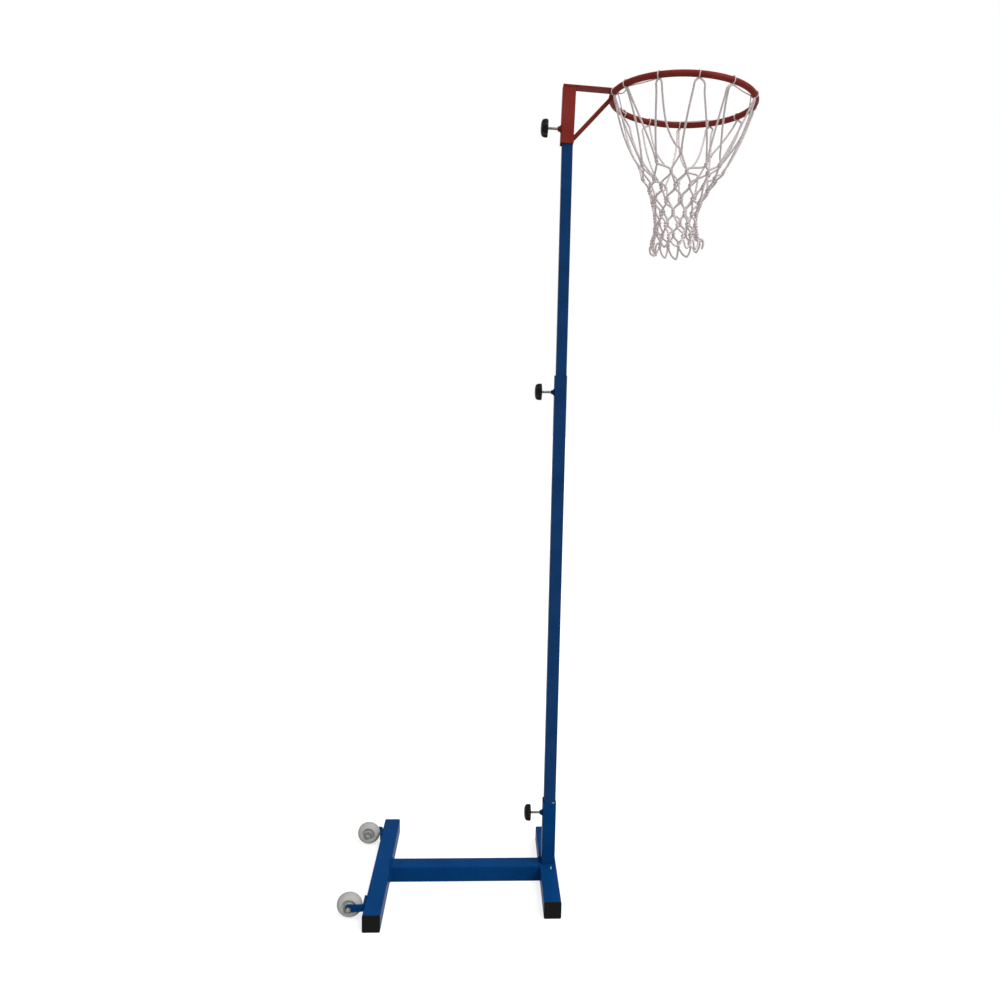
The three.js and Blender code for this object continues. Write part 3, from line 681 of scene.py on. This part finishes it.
brace_foot = head_frame @ Vector((sleeve_side / 2, 0, brace_rise))
ring_left = ring_frame @ Vector((-ring_radius, 0, 0))
brace_head = head_frame @ (head_frame.inverted() @ ring_left - Vector((0, 0, brace_below_ring_axis)))
run = brace_head - brace_foot
along = run.normalized()
brace_start = brace_foot + along * seat_gap
bpy.ops.mesh.primitive_cylinder_add(
    vertices=28, radius=brace_diameter / 2, depth=(brace_head - brace_start).length,
    location=(brace_start + brace_head) / 2)
brace = bpy.context.object
brace.rotation_euler = run.to_track_quat("Z", "Y").to_euler()
finish(brace, "round_brace", "head", red, ["ring_brace"])

# The welds of the base and of the ring head: steel beads, laid by hand in the corner where two
# pieces meet, and painted over with them. Each value named a bead is its radius.
spine_bead = 3.8 * MM
spine_bead_foot = 4 * MM
socket_bead = 2.0 * MM
bracket_bead = 1.9 * MM
bracket_bead_in = 0.6 * MM
bracket_bead_span = (3 * MM, 34 * MM)
# two of these are bright steel marks that are painted highlights, on the socket's rim and at its weld's end
rim_glint_bead = 0.7 * MM
weld_end_glint_bead = 1.7 * MM
sleeve_top_bead = 1.6 * MM
sleeve_side_bead = 1.1 * MM
arm_bead = 2.0 * MM
tip_bead = 1.7 * MM
foot_bead = 1.8 * MM
bead_inset = 2 * MM
bead_lift = 0.4 * MM
base_top = foot_side
half_foot = foot_side / 2
corner_in = foot_corner * 0.45
spine_low, spine_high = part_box("spine_tube")
socket_low, socket_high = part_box("mast_socket")
half_socket = (socket_high.x - socket_low.x) / 2
rounded = half_socket - mast_corner * 0.6

base_welds = {}
half_line = ((half_foot, spine_bead_foot), (half_foot, base_top - corner_in),
             (half_foot - corner_in, base_top))
for label, x in (("rear", spine_low.x), ("front", spine_high.x)):
    points = [Vector((x, -y, z)) for y, z in half_line] + [Vector((x, y, z)) for y, z in reversed(half_line)]
    base_welds[f"{label}_spine_weld"] = (points, spine_bead, False)
points = []
for x_sign, y_sign in ((1, 1), (-1, 1), (-1, -1), (1, -1)):
    corner = [Vector((x_sign * x, y_sign * y, base_top))
              for x, y in ((half_socket, rounded), (rounded, half_socket))]
    points += corner if x_sign == y_sign else reversed(corner)
base_welds["socket_weld"] = (points, socket_bead, True)
for end, sign in (("near", -1), ("far", 1)):
    low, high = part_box(f"wheel_bracket_{end}")
    inner_y = low.y if sign > 0 else high.y
    for level_name, z in (("upper", high.z), ("lower", low.z)):
        points = [Vector((high.x - bracket_bead_in, inner_y + sign * y, z)) for y in bracket_bead_span]
        base_welds[f"bracket_{level_name}_weld_{end}"] = (points, bracket_bead, False)
for name, (points, radius, closed) in base_welds.items():
    finish(weld_bead(points, radius, closed), name, "base", blue)

# Two small marks of bright steel are painted highlights: a glint on the socket's near rim, which the sliding
# mast also rubs bare, and a glint at the end of the socket's weld on the foot.
glint_steel = ("blue_paint", plated_steel("bright_glint_steel", "#dfe6e8", 0.3))
rim_glint_and_wear = ((7 * MM, -half_socket, socket_high.z), (17 * MM, -half_socket, socket_high.z))
weld_end_glint = ((8 * MM, -half_socket - 7 * MM, base_top), (7 * MM, -half_socket - 24 * MM, base_top))
for name, ends, radius in (
        ("socket_rim_glint_and_wear", rim_glint_and_wear, rim_glint_bead), ("socket_weld_end_glint", weld_end_glint, weld_end_glint_bead)):
    finish(weld_bead([Vector(end) for end in ends], radius), name, "base", glint_steel)

# The bar is welded to the sleeve's top along three sides, and its end is welded to the ring.
edge = sleeve_side / 2
inset = edge - bead_inset
for label, ends, radius in (("top", ((edge, -inset), (edge, inset)), sleeve_top_bead),
                            ("near", ((-inset, -edge), (inset, -edge)), sleeve_side_bead),
                            ("far", ((-inset, edge), (inset, edge)), sleeve_side_bead)):
    points = [Vector((*end, sleeve_length)) for end in ends]
    finish(weld_bead(points, radius), f"sleeve_{label}_weld", "head", red, (), head_frame)
arm_points = [Vector((bar_reach, i / 3 * inset, bead_lift)) for i in range(-3, 4)]
finish(weld_bead(arm_points, arm_bead), "arm_ring_weld", "head", red, (), bar_frame)


def ring_gap(place):
    """How far a place is from the skin of the ring's bar."""
    local = ring_frame.inverted() @ place
    return hypot(hypot(local.x, local.y) - ring_radius, local.z) - ring_rod / 2


# The brace's end is let into the ring, and its bead follows the line where the two round bars meet.
# That line is found by going up the brace's skin, by part of the gap at a time, until the ring is near.
tip_steps = 18
tip_ripple = 1.2 * bead_ripple
near_enough = 0.2 * MM
upright = run.to_track_quat("Z", "Y").to_matrix()
tip_points = []
for i in range(tip_steps):
    angle = 2 * pi * i / tip_steps
    point = brace_start + upright @ bearing(angle) * brace_diameter / 2
    while ring_gap(point) > near_enough and (brace_head - point).dot(along) > near_enough:
        point = point + along * max(0.6 * ring_gap(point), near_enough / 2)
    tip_points.append(point)
finish(weld_bead(tip_points, tip_bead, True, tip_ripple), "brace_ring_weld", "head", red)

# The bead at the brace's foot is the slanted ring that its bar makes on the sleeve.
foot_steps = 14
sleeve_out, side, rise = (head_frame.to_3x3() @ Vector(axis) for axis in ((1, 0, 0), (0, 1, 0), (0, 0, 1)))
slant = 1 / along.dot(sleeve_out)
foot_points = []
for i in range(foot_steps):
    angle = 2 * pi * i / foot_steps
    foot_points.append(brace_start + sleeve_out * bead_lift
                       + side * (brace_diameter / 2 * cos(angle))
                       + rise * (brace_diameter / 2 * slant * sin(angle)))
finish(weld_bead(foot_points, foot_bead, True), "brace_sleeve_weld", "head", red)

# Behind the rear foot are two nylon transport wheels. Each turns on a bush on an M8 bolt that one
# flat bar holds, bent from 20 by 5 mm steel and welded to the foot. Standing, they clear the floor.
bracket_height = 20 * MM
bracket_thickness = 5 * MM
bracket_leg = 48 * MM
bracket_bend = 5 * MM
bracket_rounding = 0.5 * MM
axle_setback = 44 * MM
axle_diameter = 8 * MM
axle_chamfer = 1 * MM
bush_length = 30.6 * MM
bush_diameter = 12 * MM
bush_chamfer = 0.4 * MM
washer_thickness = 1.6 * MM
washer_diameter = 17 * MM
washer_chamfer = 0.3 * MM
bush_steps = 40
bolt_steps = 32
head_height = 5.5 * MM
lock_nut_height = 6.5 * MM
lock_nut_rounding = 0.7 * MM
lock_nut_angle = radians(50)
thread_proud = 2 * MM
through_depth = 20 * MM
wheel_diameter = 72 * MM
wheel_width = 30 * MM
wheel_shoulder = 14.6 * MM
wheel_hub = 20 * MM
wheel_dish = 4.4 * MM
wheel_steps = 72

# Off-white nylon, cast and turned, a little see-through. Its colour carries painted shade: it darkens out
# over the tread and in towards the hub's dished hollow, and is unshaded between the two.
hub_shade_radius = 13 * MM
unshaded_radius = 25 * MM
tread_radius = wheel_diameter / 2
nylon = plastic("cast_nylon", "#c3c4c1", "#a9a9a3", 1.2 * MM, 0.48, 0.05 * MM)
tree = nylon.node_tree
skin = tree.nodes["Principled BSDF"]
axle = middle("wheel_near")
place = add_node(tree, "ShaderNodeTexCoord").outputs["Object"]
from_axle = add_node(tree, "ShaderNodeMapping",
                     {"Vector": place, "Location": (-axle.x, 0, -axle.z), "Scale": (1, 0, 1)})
reach = add_node(tree, "ShaderNodeVectorMath", {0: from_axle}, operation="LENGTH")
# painted shade: darker out over the tread, and darker in the hollow round the hub
tread_painted_shade = add_node(tree, "ShaderNodeMapRange", {
    "Value": reach, "From Min": unshaded_radius, "From Max": tread_radius, "To Min": 1.0, "To Max": 0.74})
hub_painted_shade = add_node(tree, "ShaderNodeMapRange", {
    "Value": reach, "From Min": hub_shade_radius, "From Max": unshaded_radius, "To Min": 0.6, "To Max": 1.0})
grey = add_node(tree, "ShaderNodeMath", {0: tread_painted_shade, 1: hub_painted_shade}, operation="MULTIPLY")
own_colour = skin.inputs["Base Color"].links[0].from_socket
shaded_colour = add_node(tree, "ShaderNodeMix", {"Factor": 1.0, "A": own_colour, "B": grey},
                  data_type="RGBA", blend_type="MULTIPLY")
wire(skin, {"Base Color": shaded_colour, "Subsurface Weight": 0.05, "Subsurface Scale": 1.0,
            "Subsurface Radius": (4 * MM, 4 * MM, 3.5 * MM)})

# One half of the wheel's outline: the bore, the dished side and the round shoulder up to the tread
outer = tread_radius
half_width = wheel_width / 2
hub_edge = wheel_hub / 2
dish_width = outer - wheel_shoulder - hub_edge
dish_steps = 12
shoulder_steps = 8
wheel_profile = [(bush_diameter / 2 + seat_gap, -half_width)]
for i in range(dish_steps + 1):
    wheel_profile.append((hub_edge + dish_width * i / dish_steps,
                          wheel_dish * sin(pi * i / dish_steps) ** 2 - half_width))
for i in range(1, shoulder_steps + 1):
    turn = i / shoulder_steps * pi / 2
    wheel_profile.append((outer - wheel_shoulder * (1 - sin(turn)),
                          wheel_shoulder * (1 - cos(turn)) - half_width))
wheel_profile += [(r, -z) for r, z in reversed(wheel_profile)]
wheel_profile.append(wheel_profile[0])

arm_face = bush_length / 2 + seat_gap
arm_run = axle_setback - 2 * bracket_bend
for end, sign in (("near", -1), ("far", 1)):
    hub = middle(f"wheel_{end}")
    axle_frame = Matrix.Translation(hub) @ Matrix.Rotation(-sign * pi / 2, 4, "X")
    finish(spun(wheel_profile, wheel_steps), f"nylon_wheel_{end}", f"{end}_wheel",
           ("wheel_nylon", nylon), [f"wheel_{end}"], axle_frame)

    # the bracket: a bar, spun round its bend, then run on along the foot and rounded at the axle
    arm_y = sign * (arm_face + bracket_thickness / 2)
    bracket = block((arm_run + bracket_height / 2, bracket_thickness, bracket_height),
                    ((arm_run - bracket_height / 2) / 2, arm_y, 0))
    bpy.ops.object.mode_set(mode="EDIT")
    pick("EDGE", lambda part: all(v.co.x < -bracket_height / 4 for v in part.verts)
         and abs(part.verts[0].co.y - part.verts[1].co.y) > bracket_thickness / 2)
    bpy.ops.mesh.bevel(offset=bracket_height / 2 * 0.999, segments=10, affect="EDGES")
    pick("FACE", lambda part: part.normal.x > 0.9)
    bpy.ops.mesh.spin(steps=8, angle=sign * pi / 2, axis=(0, 0, 1),
                      center=(arm_run, sign * (arm_face - bracket_bend), 0))
    bpy.ops.mesh.extrude_region_move(TRANSFORM_OT_translate={
        "value": (0, -sign * (bracket_leg - bracket_bend - bracket_thickness), 0)})
    face_outwards()
    drill(bracket, (0, arm_y, 0), (0, 1, 0), through_depth)
    apply_modifier(bracket, "BEVEL", width=bracket_rounding, segments=2, angle_limit=rim_angle)
    bracket.location = hub
    finish(bracket, f"axle_bracket_{end}", "base", blue, [f"wheel_bracket_{end}"])

    # the bush in the wheel's bore, and the washer under the bolt's head
    hole = axle_diameter / 2 + seat_gap
    rim, half_length = bush_diameter / 2, bush_length / 2
    bush = spun([(hole, -half_length), (rim - bush_chamfer, -half_length), (rim, bush_chamfer - half_length),
                 (rim, half_length - bush_chamfer), (rim - bush_chamfer, half_length), (hole, half_length),
                 (hole, -half_length)], bush_steps)
    finish(bush, f"bush_{end}", "base", zinc, [f"axle_bush_{end}"], axle_frame)
    rim, base = washer_diameter / 2, -arm_face - washer_thickness
    washer = spun([(hole, base), (rim - washer_chamfer, base), (rim, base + washer_chamfer),
                   (rim, -arm_face), (hole, -arm_face), (hole, base)], bush_steps)
    finish(washer, f"washer_{end}", "base", zinc, [f"axle_washer_{end}"], axle_frame)

    # the bolt with its head, and the lock nut behind the bracket
    head_face = base - seat_gap
    nut_face = arm_face + bracket_thickness + seat_gap
    bolt_end = nut_face + lock_nut_height + thread_proud
    shank = axle_diameter / 2
    bolt = spun([(0, head_face), (shank, head_face), (shank, bolt_end - axle_chamfer),
                 (shank - axle_chamfer, bolt_end), (0, bolt_end)], bolt_steps)
    hexagon(head_height, head_face - head_height)
    make_active(bolt)
    bpy.ops.object.join()
    finish(bolt, f"bolt_{end}", "base", zinc, [f"axle_bolt_{end}"], axle_frame)
    lock_nut = hexagon(lock_nut_height, nut_face)
    settle()
    drill(lock_nut, (0, 0, nut_face), (0, 0, 1), through_depth)
    apply_modifier(lock_nut, "BEVEL", width=lock_nut_rounding, segments=2, angle_limit=lock_nut_angle)
    finish(lock_nut, f"lock_nut_{end}", "base", zinc, [f"axle_nut_{end}"], axle_frame)

# The net is white braided cord, looped over the ring in twelve places and knotted in diamonds.
# Two families of strands run down it, leaning each way; they pass each other in the knots, and at
# the foot each pair turns into one loop. Under the ring the cords are long and slack.
cord_diameter = 5.4 * MM
net_length = 425 * MM
half_ring = ring_inside / 2
tight_cord = 3.2 * MM
lashing_radius = ring_rod / 2 + tight_cord / 2
lashing_drop = 13 * MM
lashing_width = 3 * MM
lashing_start = 0.3
lashing_places = 14
cord_step = 4 * MM
lacing_step = 5 * MM
drop_per_degree = 1.8 * MM
loop_degrees = [-1, 25, 53, 79, 107, 137, 189, 208, 239, 269, 297, 331]
loop_count = len(loop_degrees)
net_middle = ring_frame.to_translation()

# The first two rows of knots hang unevenly: bearing, share of half the ring's width, share of the depth
first_knots = [(16, 0.67, 0.377), (37, 0.70, 0.28), (67, 0.62, 0.368), (90, 0.605, 0.37),
               (113, 0.59, 0.438), (156, 0.61, 0.405), (197, 0.62, 0.44), (225, 0.62, 0.44),
               (258, 0.64, 0.398), (293, 0.62, 0.465), (316, 0.65, 0.445), (342, 0.63, 0.465)]
second_knots = [(-2, 0.53, 0.508), (23, 0.53, 0.44), (46, 0.54, 0.43), (79, 0.52, 0.46),
                (102, 0.485, 0.497), (133, 0.52, 0.493), (176, 0.54, 0.50), (214, 0.53, 0.535),
                (245, 0.57, 0.503), (267, 0.57, 0.506), (304, 0.54, 0.50), (326, 0.54, 0.512)]
# The twelve loops at the foot end at odd heights: bearing, both shares, and how far they open (mm)
foot_loops = [(-16, 0.37, 0.945, 4), (20, 0.35, 0.955, 0), (50, 0.34, 0.975, 0), (78, 0.34, 0.99, 0),
              (108, 0.34, 0.982, 0), (142, 0.34, 0.975, 4), (166, 0.33, 0.99, 14), (192, 0.33, 0.98, 10),
              (226, 0.34, 0.955, 0), (257, 0.34, 0.955, 0), (282, 0.34, 0.965, 0), (309, 0.34, 0.965, 0)]
# The rows between hang more evenly, as shares of the depth and of half the ring's width, and their
# knots stray a little in bearing (degrees), radius and depth (shares)
row_depths = [0.400, 0.490, 0.573, 0.656, 0.739, 0.822, 0.905, 0.985]
row_radii = [0.62, 0.53, 0.455, 0.386, 0.350, 0.344, 0.362, 0.395]
last_row = len(row_depths) - 1
stray_bearing, stray_radius, stray_depth = 4, 0.06, 0.008
# Over three rows they turn back to meet the loops at the foot, hardly at the back (degrees). Their
# right side is drawn in and, near the foot, up, and their back hangs lower (shares)
settling_rows = 3
turn_back = 15
swing = 2
right_pull = 0.1
right_rise = 0.009
rising_row = 4
back_drop = 0.014
# Runs of lacing along the inside of the ring: from which loop, how far round the rod (degrees), slack (mm)
lacing_runs = [(2, 125, 1), (3, 125, 2), (5, 200, 14), (6, 200, 9), (7, 205, 1), (10, 200, 2), (11, 190, 4)]
# Each loop's two legs: where they leave the ring (degrees from the loop), how late they swing across
# to their knots (a power), and how far they bow out (mm)
leg_starts = [(-2, 2), (-6, 1), (-3, 3), (0.5, 2), (-1, 6), (-9, 1), (-1, 1), (1, 3), (-2, 2),
              (-3, 4), (-5, -3), (-3, 1)]
leg_turns = [(2.2, 2.0), (1.6, 1.5), (2.0, 7.0), (4.0, 2.5), (4.5, 1.4), (4.0, 2.0), (1.5, 1.3),
             (2.0, 1.6), (1.3, 4.5), (1.0, 1.3), (1.0, 1.6), (1.8, 2.0)]
leg_bows = [(6, 8), (8, 4), (2, 6), (4, 4), (5, 12), (8, 8), (6, 4), (-6, -8), (2, 2), (2, 2),
            (-2, -6), (2, 8)]
leg_steps = 9
leg_spread = 0.6
# The last stretch down to a loop at the foot: shares of the way across, of the way down and of its opening
foot_bend = ((0.2, 0.4, 1), (0.55, 0.78, 0.8), (1, 1, 0))
# A knot: half its height, half its wrap's height, and how thick it is pulled. Below the second row
# the knots are drawn out long. In each, two strands pass side by side, a little turned (degrees)
short_rows = 2
short_knot = (4.5 * MM, 3.2 * MM, (1.0, 1.35))
long_knot = (7 * MM, 6 * MM, (1.1, 1.5))
knot_offset = 1.7 * MM
knot_twist = 0.7
wrap_across = 2.9 * MM
wrap_out = 3.6 * MM
wrap_slant = 3 * MM
wrap_cord = cord_diameter * 0.38
wrap_tilt = 0.5
wrap_steps = 14
wrap_sides = 6
# The braid's ribs are 0.9 mm apart, which the wave texture calls a scale of 0.35
rib_scale = 0.35
rib_lean = radians(35)


def cord_material(name, colour, shade):
    """Braided synthetic cord: an off-white weave of slant ribs, with painted shade in its grooves."""
    made, tree, skin, place = new_material(name)
    tint = mottled(tree, place, 60.0, 4.0, shade, colour)[1]
    along_cord = add_node(tree, "ShaderNodeUVMap", uv_map="braid")
    ribs = []
    for lean in (rib_lean, -rib_lean):
        turned = add_node(tree, "ShaderNodeMapping", {"Vector": along_cord, "Rotation": (0, 0, lean)})
        wave = add_node(tree, "ShaderNodeTexWave", {"Vector": turned, "Scale": rib_scale})
        ribs.append(wave.outputs["Fac"])
    weave = add_node(tree, "ShaderNodeMath", {0: ribs[0], 1: ribs[1]}, operation="MAXIMUM")
    # painted shade: the braid's grooves are darkened in the colour
    painted_groove_shade = add_node(tree, "ShaderNodeMapRange", {"Value": weave, "To Min": 0.84, "To Max": 1.0})
    groove_shaded = add_node(tree, "ShaderNodeMix", {"Factor": 1.0, "A": tint, "B": painted_groove_shade},
                    data_type="RGBA", blend_type="MULTIPLY")
    bump = add_node(tree, "ShaderNodeBump", {"Height": weave, "Strength": 0.6, "Distance": 0.4 * MM})
    wire(skin, {"Base Color": groove_shaded, "Normal": bump, "Roughness": 0.85, "Sheen Weight": 0.15})
    return made


net = bmesh.new()
braid = net.loops.layers.uv.new("braid")


def smooth_line(points, step):
    """A centripetal curve through the points, sampled evenly."""
    padded = [2 * points[0] - points[1]] + points + [2 * points[-1] - points[-2]]
    places = []
    for a, b, c, d in zip(padded, padded[1:], padded[2:], padded[3:]):
        times = [0]
        for start, end in ((a, b), (b, c), (c, d)):
            times.append(times[-1] + max((end - start).length, 0.1 * MM) ** 0.5)
        t0, t1, t2, t3 = times
        count = max(2, ceil((c - b).length / step))
        for i in range(count):
            t = t1 + (t2 - t1) * i / count
            ab, bc, cd = (p.lerp(q, (t - before) / (after - before))
                          for p, q, before, after in ((a, b, t0, t1), (b, c, t1, t2), (c, d, t2, t3)))
            abc = ab.lerp(bc, (t - t0) / (t2 - t0))
            bcd = bc.lerp(cd, (t - t1) / (t3 - t1))
            places.append(abc.lerp(bcd, (t - t1) / (t2 - t1)))
    places.append(points[-1])
    return places


def add_cord(places, radius, sides=8):
    """Sweep a round cord along places into the net, with its length and turn as a UV map in mm."""
    count = len(places)
    tangents = [(places[min(i + 1, count - 1)] - places[max(i - 1, 0)]).normalized() for i in range(count)]
    side = tangents[0].orthogonal().normalized()
    rings = []
    lengths = [0]
    for i, place in enumerate(places):
        side = (side - tangents[i] * side.dot(tangents[i])).normalized()
        over = tangents[i].cross(side)
        if i:
            lengths.append(lengths[-1] + (place - places[i - 1]).length)
        rings.append([
            net.verts.new(place + (side * cos(turn) + over * sin(turn)) * radius)
            for turn in (2 * pi * k / sides for k in range(sides))])
    girth = 2 * pi * radius
    for i in range(count - 1):
        for k in range(sides):
            n = (k + 1) % sides
            face = net.faces.new((rings[i][k], rings[i][n], rings[i + 1][n], rings[i + 1][k]))
            for loop, (u, v) in zip(face.loops, ((i, k), (i, k + 1), (i + 1, k + 1), (i + 1, k))):
                loop[braid].uv = (lengths[u] / MM, v / sides * girth / MM)
    net.faces.new(list(reversed(rings[0])))
    net.faces.new(rings[-1])


random.seed(21)
knots = {}
for i, pair in enumerate(zip(first_knots, second_knots)):
    for row, (degrees, radius, depth) in enumerate(pair):
        knots[row, 2 * i + 1 - row] = (degrees, radius * half_ring, depth * net_length)
for row in range(2, last_row):
    settled = min(1, (row - 1) / settling_rows)
    for half in range(1 - row % 2, 2 * loop_count, 2):
        degrees = loop_degrees[0] + 180 / loop_count * half + random.uniform(-stray_bearing, stray_bearing)
        turn = radians(degrees)
        back = max(0, sin(turn))
        right_side = 1 + cos(turn)
        degrees -= settled * (turn_back * (1 - back) + swing * sin(turn))
        radius = row_radii[row] * (1 - right_pull * settled * right_side)
        radius *= random.uniform(1 - stray_radius, 1 + stray_radius)
        depth = row_depths[row] - right_rise * max(0, row - rising_row) * right_side
        depth += back_drop * settled * back + random.uniform(-stray_depth, stray_depth)
        knots[row, half] = (degrees, radius * half_ring, depth * net_length)
for i, (degrees, radius, depth, opening) in enumerate(foot_loops):
    knots[last_row, 2 * i] = (degrees, radius * half_ring, depth * net_length)


def knot(row, half):
    """A knot's bearing, radius and depth; the bearing counts on past a full turn."""
    turns, place = divmod(half, 2 * loop_count)
    degrees, radius, depth = knots[row, place]
    return degrees + 360 * turns, radius, depth


def around(degrees, radius, depth):
    """A place on the net. The ring's tilt fades out on the way down to the first knots."""
    level_place = bearing(radians(degrees)) * radius
    tilt = (ring_frame @ level_place - net_middle).z * max(0, 1 - 2 * depth / net_length)
    return net_middle + level_place + Vector((0, 0, tilt - depth))


def net_slope(row):
    """How fast the net's radius changes with its depth at a row of knots."""
    above, below = max(row - 1, 0), row + 1
    return ((row_radii[below] - row_radii[above]) * half_ring
            / ((row_depths[below] - row_depths[above]) * net_length))


def leg(loop, way):
    """One strand from the ring to the foot of the net, as places."""
    side = (way + 1) // 2
    offset, power, bow = leg_starts[loop][side], leg_turns[loop][side], leg_bows[loop][side] * MM
    start = (loop_degrees[loop] + offset, ring_radius, lashing_drop + abs(offset) * drop_per_degree)
    end = knot(0, 2 * loop + way)
    route = [(loop_degrees[loop] + way * leg_spread, ring_radius, lashing_radius), start]
    for i in range(1, leg_steps):
        share = i / leg_steps
        route.append((start[0] + (end[0] - start[0]) * share ** power,
                      start[1] + (end[1] - start[1]) * share + 4 * bow * share * (1 - share),
                      start[2] + (end[2] - start[2]) * share))
    for row in range(last_row):
        degrees, radius, depth = knot(row, 2 * loop + way * (row + 1))
        half_knot = (short_knot if row < short_rows else long_knot)[0]
        for step in (-1, 1):
            route.append((degrees + way * step * knot_twist,
                          radius + net_slope(row) * step * half_knot + way * knot_offset,
                          depth + step * half_knot))
    foot = 2 * loop + way * (last_row + 1)
    before, last = knot(last_row - 1, foot - way), knot(last_row, foot)
    opening = foot_loops[foot % (2 * loop_count) // 2][3] * MM
    for across, down, opened in foot_bend:
        route.append((before[0] + (last[0] - before[0]) * across, last[1] + opening * opened,
                      before[2] + (last[2] - before[2]) * down))
    return [around(*place) for place in route]


def on_rod(degrees, turn, shift=0):
    """A place on the ring's rod: its bearing, its turn round the rod, and a shift along the ring."""
    angle = radians(degrees) + shift / ring_radius
    reach = ring_radius + lashing_radius * cos(turn)
    return ring_frame @ (bearing(angle) * reach + Vector((0, 0, lashing_radius * sin(turn))))


for loop, degrees in enumerate(loop_degrees):
    for way in (-1, 1):
        add_cord(smooth_line(leg(loop, way), cord_step), cord_diameter / 2)
    # the lashing: a little more than one turn round the ring, pulled flat and tight
    add_cord([on_rod(degrees, (i / (lashing_places - 2) - lashing_start) * 2 * pi,
                     (i / (lashing_places - 1) - 0.5) * lashing_width)
              for i in range(lashing_places)], tight_cord / 2)
for loop, turn_degrees, slack in lacing_runs:
    following = loop_degrees[(loop + 1) % loop_count] + 360 * ((loop + 1) // loop_count)
    turn = radians(turn_degrees)
    start, end = on_rod(loop_degrees[loop], turn), on_rod(following, turn)
    sag = (start + end) / 2 - Vector((0, 0, slack * MM))
    add_cord(smooth_line([start, sag, end], lacing_step), tight_cord / 2)

# the knots: one and a half turns of cord pulled tight round both strands
for (row, half), (degrees, radius, depth) in knots.items():
    if row == last_row:
        continue
    angle = radians(degrees)
    out, tangent = bearing(angle), bearing(angle + pi / 2)
    fall = (out * net_slope(row) - Vector((0, 0, 1))).normalized()
    half_wrap, sizes = (short_knot if row < short_rows else long_knot)[1:]
    size = random.uniform(*sizes)
    tilt = random.uniform(-wrap_tilt, wrap_tilt)
    wrap = []
    for i in range(wrap_steps + 1):
        turn = 3 * pi * i / wrap_steps
        wrap.append(around(degrees, radius, depth) + tangent * wrap_across * size * cos(turn)
                    + out * wrap_out * size * sin(turn)
                    + fall * (half_wrap * (2 * i / wrap_steps - 1) + wrap_slant * tilt * cos(turn)))
    add_cord(wrap, wrap_cord, wrap_sides)
net_mesh = bpy.data.meshes.new("corded_net")
net.to_mesh(net_mesh)
net.free()
net_piece = bpy.data.objects.new("corded_net", net_mesh)
bpy.context.scene.collection.objects.link(net_piece)
make_active(net_piece)
bpy.ops.object.shade_smooth()
net_piece.data.materials.append(cord_material("braided_cord", "#efe4e3", "#d9cecd"))
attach(net_piece, "head")
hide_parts(*(f"net_panel_{i}" for i in range(1, 7)))
bpy.ops.object.select_all(action="DESELECT")

# The bounds of the finished model.
low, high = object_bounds()
